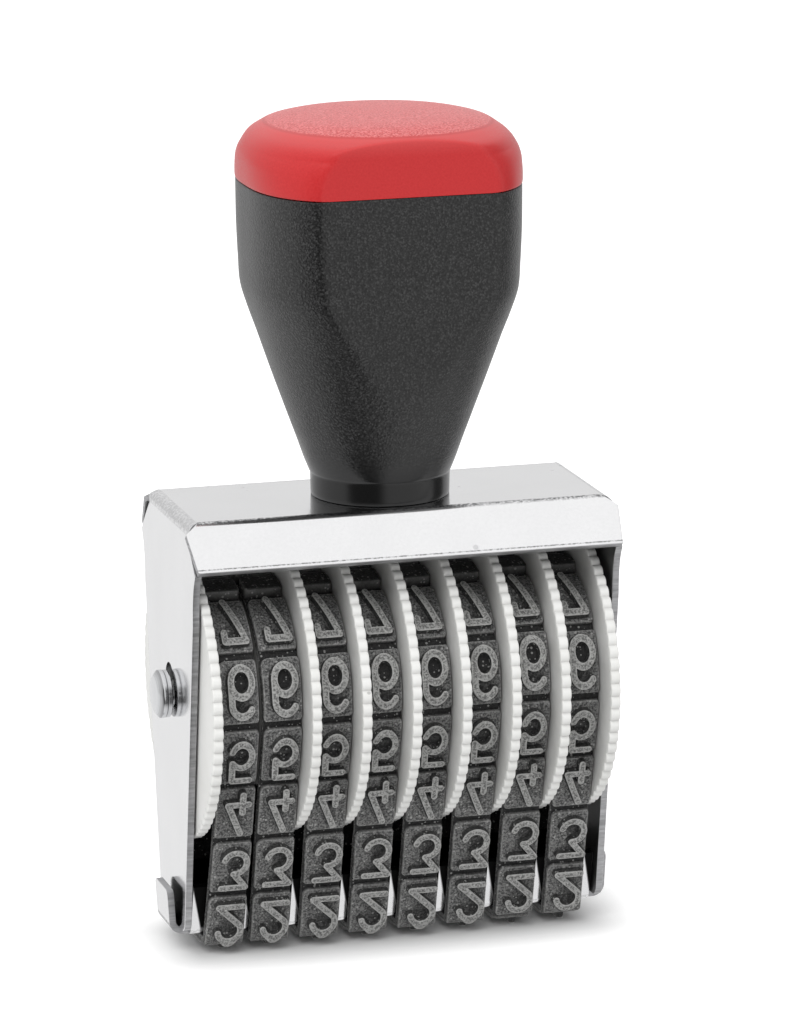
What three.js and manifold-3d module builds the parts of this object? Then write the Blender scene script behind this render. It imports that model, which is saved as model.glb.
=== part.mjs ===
// Hand numbering stamp with eight rubber number bands on thumb wheels.
// Millimetres, +Z up. X runs along the axle, -Y is the side that faces the user.
// The origin lies under the middle of the stamp, level with the printing digits.

import * as THREE from 'three';
import Module from 'manifold-3d';
import { mergeVertices } from 'three/addons/utils/BufferGeometryUtils.js';

const wasm = await Module();
wasm.setup();

// Fits
const seatGap = 0.3;
const runningGap = 0.3;

// Number bands: a thin belt that carries moulded blocks with raised digits
const bandCount = 8;
const bandWidth = 5.4;
const beltThickness = 0.8;
const blockRise = 0.7;
const digitRise = 1.1;
const blockGap = 1.1;
const digitPitch = 9.35;
const pitchRise = 0.75;
const drumStretch = 1.09;
const digitsBehind = 3;
const digitRoot = 0.5;
const digitHeight = 7.0;
const digitWidth = 4.25;
const strokeWidth = 1.05;
const mitreLimit = 1.7;
const blanksPerBand = 8;
const bandAdvanceShares = [0, 0, 0, 0, 0, 0.01, 0.09, 0.05];

// Thumb wheels: a toothed disc beside a drum
const discRadius = 21.7;
const discThickness = 1.4;
const toothDepth = 0.9;
const teethPerDisc = 70;
const drumRadius = 14.45;
const drumFlatCount = 20;
const bandPlay = 0.2;
const wheelPitch = discThickness + bandWidth + 2 * runningGap + bandPlay;
const firstBandClearance = 0.85;
const axleHeight = 39;

// Axle
const axleRadius = 2.1;
const axleHeadRadius = 3.6;
const axleHeadRim = 1.1;
const axleHeadCrown = 0.9;
const axleHeadChamfer = 1.2;

// Bridge: the folded channel that the bands run under
const noseHalfSpread = 4.73;
const noseRadius = 0.5;
const bridgeWallTop = 10.9;
const bridgeTabWidth = 7.6;
const bridgeTabTop = 10.4;
const bridgeTabBend = 2.0;

// Fixing screw and washer under the top plate
const screwRadius = 1.9;
const screwLength = 14;
const screwHeadRadius = 3.6;
const screwHeadHeight = 2.2;
const screwSlotWidth = 1;
const screwSlotDepth = 0.9;
const washerRadius = 5;
const washerThickness = 0.8;

// Frame: one bent sheet with a top plate, two flanges and two cheeks.
// It is as wide as its stack of wheels and as tall as the wheels and the screw head need.
const sheetThickness = 1.05;
const stackPlay = 1.5;
const frameWidth = bandCount * wheelPitch + stackPlay + 2 * (sheetThickness + seatGap);
const wheelHeadroom = 2;
const screwStack = screwHeadHeight + seatGap + washerThickness + seatGap;
const frameTop = axleHeight + discRadius + wheelHeadroom + screwStack + sheetThickness;
const cheekBottom = 4;
const cheekBendRadius = 1.8;
const cheekFootDepth = 14.4;
const cheekFootRadius = 1.5;
const cheekShoulderDepth = 29.6;
const flangeTopDepth = 23.6;
const flangeFootDepth = 35.2;
const flangeDrop = 6.05;
const flangeFootHeight = frameTop - flangeDrop;
const cheekFlareHeight = 8.3;
const cheekShoulderHeight = flangeFootHeight - cheekFlareHeight;
const flangeBendRadius = 1.2;
const flangeInset = 0.5;
const cornerSlit = 0.35;
const cornerSlitReach = 1.5;
const axleSlotRise = 2.3;

// Handle and cap. The flats of the grip stand just inside the flanges' feet.
const neckRadius = 10.3;
const neckHeight = 3.3;
const handleFootRadius = 10.7;
const handleWidth = 40.2;
const handleSetback = 0.3;
const handleDepth = flangeFootDepth - 2 * handleSetback;
const handleHeight = 46.65;
const handleFoot = frameTop + seatGap;
const neckTop = handleFoot + neckHeight;
const handleTop = handleFoot + handleHeight;
const handleShoulderDrop = 15.3;
const handleShoulder = handleTop - handleShoulderDrop;
const handleKneeDrop = 17.3;
const handleFacetKnee = handleTop - handleKneeDrop;
const handleFacetReach = 14.7;
const handleFacetSlope = 1 / 6;
const capHeight = 9.95;
const capFoot = handleTop + seatGap;
const capTop = capFoot + capHeight;
const capOverhang = 0.2;
const capWidth = handleWidth + 2 * capOverhang;

// Joining and cutting of closed meshes

function toSolid(geometry) {
  const bare = geometry.clone();
  bare.deleteAttribute('normal');
  bare.deleteAttribute('uv');
  const merged = mergeVertices(bare, 1e-5);
  const vertProperties = new Float32Array(merged.attributes.position.array);
  const triVerts = new Uint32Array(merged.index.array);
  return new wasm.Manifold(new wasm.Mesh({ numProp: 3, vertProperties, triVerts }));
}

function toGeometry(solid) {
  const mesh = solid.getMesh();
  const geometry = new THREE.BufferGeometry();
  geometry.setAttribute('position', new THREE.BufferAttribute(new Float32Array(mesh.vertProperties), 3));
  geometry.setIndex(new THREE.BufferAttribute(new Uint32Array(mesh.triVerts), 1));
  geometry.computeVertexNormals();
  return geometry;
}

// A shape drawn in (Y, Z) becomes a solid of the given width, centred on X = 0.
function extrudeAcross(shape, width, curveSegments) {
  const geometry = new THREE.ExtrudeGeometry(shape, { depth: width, bevelEnabled: false, curveSegments });
  geometry.translate(0, 0, -width / 2);
  const yAxis = new THREE.Vector3(0, 1, 0);
  const zAxis = new THREE.Vector3(0, 0, 1);
  const xAxis = new THREE.Vector3(1, 0, 0);
  geometry.applyMatrix4(new THREE.Matrix4().makeBasis(yAxis, zAxis, xAxis));
  return geometry;
}

// A shape drawn in (X, Z) becomes a solid of the given depth, centred on Y = 0.
function extrudeDeep(shape, depth, curveSegments) {
  const geometry = new THREE.ExtrudeGeometry(shape, { depth, bevelEnabled: false, curveSegments });
  geometry.translate(0, 0, -depth / 2);
  geometry.rotateX(Math.PI / 2);
  return geometry;
}

function polygon(points) {
  return new THREE.Shape(points.map(([a, b]) => new THREE.Vector2(a, b)));
}

function circleShape(radius, centreY, centreZ) {
  const shape = new THREE.Shape();
  shape.absarc(centreY, centreZ, radius, 0, Math.PI * 2);
  return shape;
}

function mirrored(points) {
  return points.map(([a, b]) => [-a, b]).reverse();
}

// The band's loop: its inner face runs round the drum and the two noses of the bridge.
// Distance s starts at the middle of the print face and grows up the front of the stamp.
// It is measured at the height above the inner face where bending leaves the rubber's length alone.
// On the drum the tight belt is stretched, so there each length takes up a larger angle.

const bandThickness = beltThickness + blockRise + digitRise;
const drumRunRadius = drumRadius + runningGap + 0.05 * beltThickness;
const noseHeight = bandThickness + noseRadius;
const noseDrop = axleHeight - noseHeight;
const centreSpan = Math.hypot(noseHalfSpread, noseDrop);
const bandLean = Math.asin((drumRunRadius - noseRadius) / centreSpan)
  - Math.atan2(noseHalfSpread, noseDrop);
const straightRun = Math.sqrt(centreSpan ** 2 - (drumRunRadius - noseRadius) ** 2);
const noseSweep = Math.PI / 2 - bandLean;
const drumSweep = Math.PI + 2 * bandLean;
const nosePitchRadius = noseRadius + pitchRise;
const drumPitchRadius = (drumRunRadius + pitchRise) / drumStretch;
const runStart = noseHalfSpread + noseSweep * nosePitchRadius;
const runEnd = runStart + straightRun;
const loopLength = 2 * runEnd + drumSweep * drumPitchRadius;

function outward(angle) {
  return new THREE.Vector2(-Math.sin(angle), -Math.cos(angle));
}

// Point at distance s along the loop and height h above the belt's inner face, as (Y, Z).
function onLoop(s, h) {
  let rest = THREE.MathUtils.euclideanModulo(s, loopLength);
  const onBack = rest > loopLength / 2;
  if (onBack) {
    rest = loopLength - rest;
  }
  let angle = 0;
  let base = new THREE.Vector2(-rest, bandThickness);
  if (rest > runEnd) {
    angle = noseSweep + (rest - runEnd) / drumPitchRadius;
    base = outward(angle).multiplyScalar(drumRunRadius).add(new THREE.Vector2(0, axleHeight));
  } else if (rest > noseHalfSpread) {
    angle = Math.min((rest - noseHalfSpread) / nosePitchRadius, noseSweep);
    const along = Math.max(rest - runStart, 0);
    base = outward(angle).multiplyScalar(noseRadius).add(new THREE.Vector2(-noseHalfSpread, noseHeight));
    base.add(new THREE.Vector2(-Math.sin(bandLean), Math.cos(bandLean)).multiplyScalar(along));
  }
  const point = base.add(outward(angle).multiplyScalar(h));
  return onBack ? new THREE.Vector2(-point.x, point.y) : point;
}

// Distances along half the loop where its outline needs a corner
function loopStations() {
  const drumSteps = 7;
  const noseSteps = 2;
  const stations = [];
  for (let i = 0; i <= noseSteps; i += 1) {
    stations.push(noseHalfSpread + (i / noseSteps) * noseSweep * nosePitchRadius);
  }
  for (let i = 0; i <= drumSteps; i += 1) {
    stations.push(runEnd + (i / drumSteps) * (loopLength / 2 - runEnd));
  }
  return stations;
}

function loopOutline(h) {
  const front = loopStations().map((s) => onLoop(s, h));
  const back = front.map((point) => new THREE.Vector2(-point.x, point.y));
  return [...back, ...front.slice(0, -1).reverse()];
}

// Digits. Their centre lines lie in a box from -0.5 to 0.5 across and 0 to 1 up.

const lineWidth = digitWidth - strokeWidth;
const lineHeight = digitHeight - strokeWidth;

function arcShares(centreU, centreV, radiusU, radiusV, fromDegrees, toDegrees, steps) {
  const points = [];
  for (let i = 0; i <= steps; i += 1) {
    const angle = THREE.MathUtils.degToRad(fromDegrees + (i / steps) * (toDegrees - fromDegrees));
    points.push([centreU + radiusU * Math.cos(angle), centreV + radiusV * Math.sin(angle)]);
  }
  return points;
}

// Edge of an oval stroke: side is 1 for its outer edge and -1 for its inner edge.
function ovalEdge([u, v, radiusU, radiusV], side, fromDegrees, toDegrees, steps) {
  const edgeU = radiusU + (side * strokeWidth) / 2 / lineWidth;
  const edgeV = radiusV + (side * strokeWidth) / 2 / lineHeight;
  return arcShares(u, v, edgeU, edgeV, fromDegrees, toDegrees, steps);
}

function ovalLoop(ovalShares, side, count) {
  return ovalEdge(ovalShares, side, 0, 360 - 360 / count, count - 1);
}

function sharesShape(outline, holes) {
  const place = ([u, v]) => new THREE.Vector2(u * lineWidth, v * lineHeight);
  const shape = new THREE.Shape(outline.map(place));
  shape.holes.push(...holes.map((hole) => new THREE.Path(hole.map(place))));
  return shape;
}

// Stroke of even width, with mitred joints, along a list of centre points
function strokeShape(shares) {
  const points = shares.map(([u, v]) => new THREE.Vector2(u * lineWidth, v * lineHeight));
  const left = [];
  const right = [];
  points.forEach((point, i) => {
    const before = points[Math.max(i - 1, 0)];
    const after = points[Math.min(i + 1, points.length - 1)];
    const arriving = new THREE.Vector2().subVectors(point, before).normalize();
    const leaving = new THREE.Vector2().subVectors(after, point).normalize();
    if (i === 0) {
      arriving.copy(leaving);
    }
    if (i === points.length - 1) {
      leaving.copy(arriving);
    }
    const across = new THREE.Vector2().addVectors(arriving, leaving).normalize();
    const mitre = Math.min(1 / Math.max(across.dot(leaving), 0.1), mitreLimit);
    const side = new THREE.Vector2(-across.y, across.x).multiplyScalar((strokeWidth / 2) * mitre);
    left.push(new THREE.Vector2().addVectors(point, side));
    right.push(new THREE.Vector2().subVectors(point, side));
  });
  return new THREE.Shape([...right, ...left.reverse()]);
}

const zeroShares = [0, 0.5, 0.5, 0.5];
const hookShares = [0, 0.74, 0.5, 0.26];
const bowlShares = [0, 0.3, 0.5, 0.3];
const lowerLobeShares = [0, 0.27, 0.5, 0.27];
const upperLobeShares = [0, 0.77, 0.43, 0.23];

function zeroShape() {
  return sharesShape(ovalLoop(zeroShares, 1, 8), [ovalLoop(zeroShares, -1, 6)]);
}

function sixShape(upsideDown) {
  const turned = ([u, v]) => (upsideDown ? [-u, 1 - v] : [u, v]);
  const outline = [
    ...ovalEdge(hookShares, 1, 30, 180, 3),
    ...ovalEdge(bowlShares, 1, 180, 475, 5),
    ...ovalEdge(hookShares, -1, 180, 30, 2),
  ];
  return sharesShape(outline.map(turned), [ovalLoop(bowlShares, -1, 5).map(turned)]);
}

function eightShape() {
  const outline = [
    ...ovalEdge(lowerLobeShares, 1, 135, 405, 5),
    ...ovalEdge(upperLobeShares, 1, -35, 215, 4),
  ];
  return sharesShape(outline, [ovalLoop(lowerLobeShares, -1, 5), ovalLoop(upperLobeShares, -1, 4)]);
}

const digitShapes = [
  [zeroShape()],
  [[[-0.3, 0.76], [0.05, 0.98]], [[0.1, 1], [0.1, 0]]].map(strokeShape),
  [strokeShape([...arcShares(0, 0.7, 0.5, 0.3, 165, -35, 3), [-0.5, 0], [0.5, 0]])],
  [strokeShape([[-0.45, 1], [0.45, 1], [-0.02, 0.6], ...arcShares(0, 0.3, 0.5, 0.3, 60, -155, 3)])],
  [[[0.12, 1], [-0.5, 0.27], [0.5, 0.27]], [[0.22, 0.5], [0.22, 0]]].map(strokeShape),
  [strokeShape([[0.42, 1], [-0.4, 1], [-0.44, 0.52], ...arcShares(0, 0.32, 0.5, 0.32, 105, -150, 3)])],
  [sixShape(false)],
  [strokeShape([[-0.5, 0.8], [-0.5, 1], [0.5, 1], [-0.2, 0]])],
  [eightShape()],
  [sixShape(true)],
];

// Flat digit: X across the band, Y up the digit, Z out of the belt
function digitGeometry(shape) {
  const depth = digitRise + digitRoot;
  const geometry = new THREE.ExtrudeGeometry(shape, { depth, bevelEnabled: false });
  geometry.translate(0, -lineHeight / 2, bandThickness - depth);
  return geometry;
}

// Bends a flat solid round the loop. The digits are mirrored, as on any type.
function bendOntoLoop(flat, middle) {
  const bent = flat.clone();
  const position = bent.attributes.position;
  for (let i = 0; i < position.count; i += 3) {
    const corners = [0, 1, 2].map((j) => {
      const point = onLoop(middle - position.getY(i + j), position.getZ(i + j));
      return [position.getX(i + j), point.x, point.y];
    });
    corners.reverse().forEach((corner, j) => position.setXYZ(i + j, ...corner));
  }
  return toSolid(bent);
}

// Side view of a band: its inner face is the loop, and its outer face steps up at each block.

// Middle and length of each block: 8, 9 and 0 behind the 1 on the print face, 2 to 7 up the
// front, then the blanks that fill up the loop
const blankPitch = (loopLength - digitShapes.length * digitPitch) / blanksPerBand;
const blocks = [];
for (let i = 0; i < digitShapes.length; i += 1) {
  const place = i - digitsBehind;
  const digit = (place + 1 + digitShapes.length) % digitShapes.length;
  blocks.push({ digit, middle: place * digitPitch, length: digitPitch - blockGap });
}
for (let i = 0; i < blanksPerBand; i += 1) {
  const middle = (digitShapes.length - digitsBehind - 0.5) * digitPitch + (i + 0.5) * blankPitch;
  blocks.push({ middle, length: blankPitch - blockGap });
}

function blockFolds(middle, length) {
  const rest = THREE.MathUtils.euclideanModulo(middle, loopLength);
  const nearest = Math.min(rest, loopLength - rest);
  const onPrintFace = nearest < noseHalfSpread;
  const pastNose = nearest - length / 2 > runStart;
  const belowDrum = nearest + length / 2 < runEnd + beltThickness;
  return !onPrintFace && !(pastNose && belowDrum);
}

function bandShape(advance) {
  const outline = [];
  blocks.forEach(({ middle, length }) => {
    const start = middle + advance - length / 2;
    const folds = blockFolds(middle + advance, length) ? 2 : 1;
    outline.push(onLoop(start, beltThickness));
    for (let j = 0; j <= folds; j += 1) {
      outline.push(onLoop(start + (j / folds) * length, beltThickness + blockRise));
    }
    outline.push(onLoop(start + length, beltThickness));
  });
  const shape = new THREE.Shape(outline.reverse());
  shape.holes.push(new THREE.Path(loopOutline(0)));
  return shape;
}

const flatDigits = digitShapes.map((shapes) => shapes.map(digitGeometry));

function bandGeometry(advance) {
  let band = toSolid(extrudeAcross(bandShape(advance), bandWidth));
  blocks.slice(0, flatDigits.length).forEach(({ digit, middle }) => {
    flatDigits[digit].forEach((piece) => {
      band = band.add(bendOntoLoop(piece, middle + advance));
    });
  });
  return toGeometry(band);
}

// Thumb wheel with its drum on the side of -X, its axis through the origin

function toothedShape(radius, depth, teeth) {
  const points = [];
  for (let i = 0; i < teeth; i += 1) {
    const top = (i / teeth) * Math.PI * 2;
    const root = ((i + 0.5) / teeth) * Math.PI * 2;
    points.push([radius * Math.cos(top), radius * Math.sin(top)]);
    points.push([(radius - depth) * Math.cos(root), (radius - depth) * Math.sin(root)]);
  }
  return polygon(points);
}

const drumLength = wheelPitch - discThickness - runningGap;
const boreRadius = axleRadius + runningGap;

function wheelGeometry() {
  const disc = extrudeAcross(toothedShape(discRadius, toothDepth, teethPerDisc), discThickness);
  const drumRoot = discThickness / 2;
  const drum = extrudeAcross(circleShape(drumRadius, 0, 0), drumLength + drumRoot, drumFlatCount / 2);
  drum.translate(-(drumLength + drumRoot) / 2, 0, 0);
  const bore = extrudeAcross(circleShape(boreRadius, 0, 0), 2 * wheelPitch + drumLength, 5);
  return toGeometry(toSolid(disc).add(toSolid(drum)).subtract(toSolid(bore)));
}

// Axle turned from the solid, along X, with a chamfered head outside each cheek
function axleGeometry() {
  const headStart = frameWidth / 2 + seatGap;
  const rimEnd = headStart + axleHeadRim;
  const crownEnd = rimEnd + axleHeadCrown;
  const faceEnd = crownEnd + axleHeadCrown / 2;
  const half = [
    [axleRadius, headStart],
    [axleHeadRadius, headStart],
    [axleHeadRadius, rimEnd],
    [axleHeadRadius - axleHeadChamfer / 3, crownEnd],
    [axleHeadRadius - axleHeadChamfer, faceEnd],
    [0, faceEnd],
  ];
  const lower = half.map(([r, x]) => new THREE.Vector2(r, -x)).reverse();
  const upper = half.map(([r, x]) => new THREE.Vector2(r, x));
  const geometry = new THREE.LatheGeometry([...lower, ...upper], 16);
  geometry.rotateZ(-Math.PI / 2);
  geometry.translate(0, 0, axleHeight);
  return geometry;
}

// Bridge: channel with flared walls whose floor ends in tabs folded up outside the cheeks

function bridgeLoopOutline(inset, wallTop) {
  const radius = Math.max(noseRadius - inset, 0);
  const points = [];
  const steps = radius > 0 ? 3 : 0;
  for (let i = 0; i <= steps; i += 1) {
    const angle = steps ? (i / steps) * noseSweep : noseSweep;
    const rim = outward(angle).multiplyScalar(radius);
    points.push([rim.x - noseHalfSpread, rim.y + noseHeight]);
  }
  const [footY, footZ] = points[points.length - 1];
  const rise = wallTop - footZ;
  points.push([footY - rise * Math.tan(bandLean), wallTop]);
  return points;
}

const cheekInner = frameWidth / 2 - sheetThickness;
const bridgeInset = seatGap;
const floorBottom = bandThickness + bridgeInset;
const floorTop = floorBottom + sheetThickness;

function bridgeGeometry() {
  const front = bridgeLoopOutline(bridgeInset, bridgeWallTop);
  const [topY, topZ] = front[front.length - 1];
  const wallRun = sheetThickness / Math.cos(bandLean);
  const innerTop = [topY + wallRun, topZ];
  const innerFoot = [topY + wallRun + (topZ - floorTop) * Math.tan(bandLean), floorTop];
  const half = [...front, innerTop, innerFoot];
  const outline = [...half, ...mirrored(half)];
  const channelLength = 2 * (cheekInner - seatGap);
  let bridge = toSolid(extrudeAcross(polygon(outline), channelLength));
  const tabFace = frameWidth / 2 + seatGap + sheetThickness;
  const tabRoot = cheekInner - 2 * sheetThickness;
  const innerBend = bridgeTabBend - sheetThickness;
  const bendX = tabFace - bridgeTabBend;
  const bendZ = floorBottom + bridgeTabBend;
  const crop = bridgeTabWidth / 2;
  for (const side of [1, -1]) {
    const tab = new THREE.Shape();
    tab.moveTo(tabRoot, floorBottom);
    tab.lineTo(bendX, floorBottom);
    tab.absarc(bendX, bendZ, bridgeTabBend, -Math.PI / 2, 0, false);
    tab.lineTo(tabFace, bridgeTabTop);
    tab.lineTo(tabFace - sheetThickness, bridgeTabTop);
    tab.absarc(bendX, bendZ, innerBend, 0, -Math.PI / 2, true);
    tab.lineTo(tabRoot, floorTop);
    const geometry = extrudeDeep(tab, 2 * crop, 4);
    if (side < 0) {
      geometry.rotateZ(Math.PI);
    }
    bridge = bridge.add(toSolid(geometry));
  }
  return toGeometry(bridge);
}

// Frame: the outer form of the bent sheet less its inside

function hoopShape(inset, foot) {
  const half = frameWidth / 2 - inset;
  const top = frameTop - inset;
  const radius = cheekBendRadius - inset;
  const shape = new THREE.Shape();
  shape.moveTo(-half, foot);
  shape.lineTo(half, foot);
  shape.lineTo(half, top - radius);
  shape.absarc(half - radius, top - radius, radius, 0, Math.PI / 2, false);
  shape.lineTo(-half + radius, top);
  shape.absarc(-half + radius, top - radius, radius, Math.PI / 2, Math.PI, false);
  shape.lineTo(-half, foot);
  return shape;
}

const flangeRun = new THREE.Vector2(
  (flangeFootDepth - flangeTopDepth) / 2,
  flangeFootHeight - frameTop,
);
const flangeLength = flangeRun.length();
const flangeDown = flangeRun.clone().normalize();
const flangeOut = new THREE.Vector2(-flangeDown.y, flangeDown.x);

// Side view of the sheet's outer faces, on the side of +Y
function cheekShape() {
  const foot = cheekFootDepth / 2;
  const shoulder = cheekShoulderDepth / 2;
  const ear = flangeFootDepth / 2;
  const bend = flangeBendRadius * Math.tan((Math.PI / 2 - Math.atan2(-flangeDown.y, flangeDown.x)) / 2);
  const topY = flangeTopDepth / 2;
  const shape = new THREE.Shape();
  shape.moveTo(-foot + cheekFootRadius, cheekBottom);
  shape.lineTo(foot - cheekFootRadius, cheekBottom);
  shape.quadraticCurveTo(foot, cheekBottom, foot, cheekBottom + cheekFootRadius);
  shape.lineTo(shoulder, cheekShoulderHeight);
  shape.quadraticCurveTo(shoulder, flangeFootHeight - cheekFootRadius, ear, flangeFootHeight);
  shape.lineTo(topY + flangeDown.x * bend, frameTop + flangeDown.y * bend);
  shape.quadraticCurveTo(topY, frameTop, topY - bend, frameTop);
  shape.lineTo(-topY + bend, frameTop);
  shape.quadraticCurveTo(-topY, frameTop, -topY - flangeDown.x * bend, frameTop + flangeDown.y * bend);
  shape.lineTo(-ear, flangeFootHeight);
  shape.quadraticCurveTo(-shoulder, flangeFootHeight - cheekFootRadius, -shoulder, cheekShoulderHeight);
  shape.lineTo(-foot, cheekBottom + cheekFootRadius);
  shape.quadraticCurveTo(-foot, cheekBottom, -foot + cheekFootRadius, cheekBottom);
  return shape;
}

// Side view of the space inside the sheet: open to front and back below the flanges
function insideShape() {
  const corner = new THREE.Vector2(flangeFootDepth / 2, flangeFootHeight);
  const wide = corner.clone().addScaledVector(flangeOut, flangeFootDepth / 2);
  const inner = corner.clone().addScaledVector(flangeOut, -sheetThickness);
  const ceiling = frameTop - sheetThickness;
  const climb = (ceiling - inner.y) / -flangeDown.y;
  const upper = inner.clone().addScaledVector(flangeDown, -climb);
  const below = -cheekBottom;
  const right = [
    [wide.x, below],
    [wide.x, wide.y],
    [inner.x, inner.y],
    [upper.x, upper.y],
  ];
  return polygon([...right, ...mirrored(right)]);
}

function obround(width, bottom, top) {
  const shape = new THREE.Shape();
  shape.absarc(0, top, width / 2, 0, Math.PI, false);
  shape.absarc(0, bottom, width / 2, Math.PI, Math.PI * 2, false);
  return shape;
}

// Cutter for one open corner between a flange and a cheek, on the side of +X and +Y
function cornerCutter() {
  const slitEnd = frameWidth / 2 + sheetThickness;
  const slitStart = cheekInner - seatGap;
  const flangeEnd = frameWidth / 2 - flangeInset;
  const start = cornerSlitReach;
  const end = flangeLength + sheetThickness;
  const strip = (fromX, toX, fromDepth, toDepth, from, to) => {
    const geometry = new THREE.BoxGeometry(toX - fromX, toDepth - fromDepth, to - from);
    geometry.translate((fromX + toX) / 2, -(fromDepth + toDepth) / 2, -(from + to) / 2);
    geometry.rotateX(Math.PI / 2 - Math.atan2(-flangeDown.y, flangeDown.x));
    geometry.translate(0, flangeTopDepth / 2, frameTop);
    return toSolid(geometry);
  };
  const slit = strip(slitStart, slitEnd, sheetThickness, sheetThickness + cornerSlit, start, end);
  const trim = strip(flangeEnd, slitEnd, -sheetThickness, sheetThickness + cornerSlit / 2, start, end);
  return slit.add(trim);
}

function frameGeometry() {
  const deep = 2 * flangeFootDepth;
  const wide = 2 * frameWidth;
  const outer = toSolid(extrudeDeep(hoopShape(0, 0), deep, 4))
    .intersect(toSolid(extrudeAcross(cheekShape(), wide, 4)));
  const inside = toSolid(extrudeDeep(hoopShape(sheetThickness, -2 * cheekBottom), deep, 3))
    .intersect(toSolid(extrudeAcross(insideShape(), wide)));
  const slot = obround(2 * (axleRadius + runningGap), axleHeight, axleHeight + axleSlotRise);
  const notchHalf = bridgeTabWidth / 2 + seatGap;
  const notchTop = floorTop + seatGap;
  const notch = polygon([[-notchHalf, 0], [notchHalf, 0], [notchHalf, notchTop], [-notchHalf, notchTop]]);
  const screwHole = new THREE.CylinderGeometry(screwRadius + seatGap, screwRadius + seatGap, screwLength, 12);
  screwHole.rotateX(Math.PI / 2);
  screwHole.translate(0, 0, frameTop);
  let frame = outer
    .subtract(inside)
    .subtract(toSolid(extrudeAcross(slot, wide, 5)))
    .subtract(toSolid(extrudeAcross(notch, wide)))
    .subtract(toSolid(screwHole));
  const corner = cornerCutter();
  for (const mirrorX of [1, -1]) {
    for (const mirrorY of [1, -1]) {
      frame = frame.subtract(corner.scale([mirrorX, mirrorY, 1]));
    }
  }
  return toGeometry(frame);
}

// Handle and cap: rounded sections lofted upwards, cut flat at front and back

function loft(sections, pointsAround) {
  const positions = [];
  const indices = [];
  sections.forEach(({ height, halfWidth, halfDepth, squareness }) => {
    for (let i = 0; i < pointsAround; i += 1) {
      const angle = (i / pointsAround) * Math.PI * 2;
      const c = Math.cos(angle);
      const s = Math.sin(angle);
      const power = 2 / squareness;
      positions.push(Math.sign(c) * halfWidth * Math.abs(c) ** power);
      positions.push(Math.sign(s) * halfDepth * Math.abs(s) ** power);
      positions.push(height);
    }
  });
  for (let j = 0; j < sections.length - 1; j += 1) {
    for (let i = 0; i < pointsAround; i += 1) {
      const a = j * pointsAround + i;
      const b = j * pointsAround + ((i + 1) % pointsAround);
      indices.push(a, b, b + pointsAround, a, b + pointsAround, a + pointsAround);
    }
  }
  const lowCentre = positions.length / 3;
  positions.push(0, 0, sections[0].height);
  positions.push(0, 0, sections[sections.length - 1].height);
  const last = (sections.length - 1) * pointsAround;
  for (let i = 0; i < pointsAround; i += 1) {
    const next = (i + 1) % pointsAround;
    indices.push(lowCentre, next, i);
    indices.push(lowCentre + 1, last + i, last + next);
  }
  const geometry = new THREE.BufferGeometry();
  geometry.setAttribute('position', new THREE.Float32BufferAttribute(positions, 3));
  geometry.setIndex(indices);
  return geometry;
}

// Side view of the flat cuts that make the grip's front and back facets
function facetShape() {
  const full = handleDepth / 2;
  const base = frameTop - neckHeight;
  const low = full - handleFacetSlope * (handleFacetKnee - base);
  const kneeY = full - handleFacetSlope * handleFacetReach / 2;
  const kneeZ = handleFacetKnee - handleFacetReach / 2;
  const kneeEnd = handleFacetKnee + handleFacetReach / 4;
  const shape = new THREE.Shape();
  shape.moveTo(-low, base);
  shape.lineTo(low, base);
  shape.lineTo(kneeY, kneeZ);
  shape.quadraticCurveTo(full, handleFacetKnee, full, kneeEnd);
  shape.lineTo(full, capTop + neckHeight);
  shape.lineTo(-full, capTop + neckHeight);
  shape.lineTo(-full, kneeEnd);
  shape.quadraticCurveTo(-full, handleFacetKnee, -kneeY, kneeZ);
  shape.lineTo(-low, base);
  return shape;
}

const facetCut = toSolid(extrudeAcross(facetShape(), 2 * frameWidth, 4));
const handleAroundCount = 24;

function handleGeometry() {
  const halfWidth = handleWidth / 2;
  const profileShares = [
    [0, 0, 2],
    [0.12, 0.1, 2],
    [0.45, 0.425, 2.07],
    [0.78, 0.735, 2.3],
    [0.92, 0.87, 2.45],
    [1, 0.935, 2.52],
  ];
  const round = (height, radius) => ({ height, halfWidth: radius, halfDepth: radius, squareness: 2 });
  const ledge = (handleFootRadius - neckRadius) / 2;
  const sections = [round(handleFoot, neckRadius), round(neckTop, neckRadius)];
  profileShares.forEach(([up, out, squareness]) => {
    const radius = THREE.MathUtils.lerp(handleFootRadius, halfWidth, out);
    const height = THREE.MathUtils.lerp(neckTop + ledge, handleShoulder, up);
    sections.push({ height, halfWidth: radius, halfDepth: radius, squareness });
  });
  sections.push({ height: handleTop, halfWidth, halfDepth: halfWidth, squareness: 2.65 });
  const bore = new THREE.CylinderGeometry(screwRadius + seatGap, screwRadius + seatGap, 2 * screwLength, 12);
  bore.rotateX(Math.PI / 2);
  bore.translate(0, 0, handleFoot);
  const body = toSolid(loft(sections, handleAroundCount)).intersect(facetCut);
  return toGeometry(body.subtract(toSolid(bore)));
}

function capGeometry() {
  const halfWidth = capWidth / 2;
  const profileShares = [
    [0, 0.995, 2.65],
    [0.25, 1, 2.6],
    [0.45, 0.985, 2.5],
    [0.6, 0.945, 2.4],
    [0.74, 0.875, 2.3],
    [0.86, 0.765, 2.25],
    [0.94, 0.62, 2.2],
    [0.985, 0.42, 2.1],
    [1, 0.06, 2],
  ];
  const sections = profileShares.map(([up, out, squareness]) => ({
    height: THREE.MathUtils.lerp(capFoot, capTop, up),
    halfWidth: halfWidth * out,
    halfDepth: halfWidth * out,
    squareness,
  }));
  return toGeometry(toSolid(loft(sections, handleAroundCount)).intersect(facetCut));
}

// Slotted screw and washer that hold the handle from inside the frame

const washerTop = frameTop - sheetThickness - seatGap;
const screwHeadTop = washerTop - washerThickness - seatGap;

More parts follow.
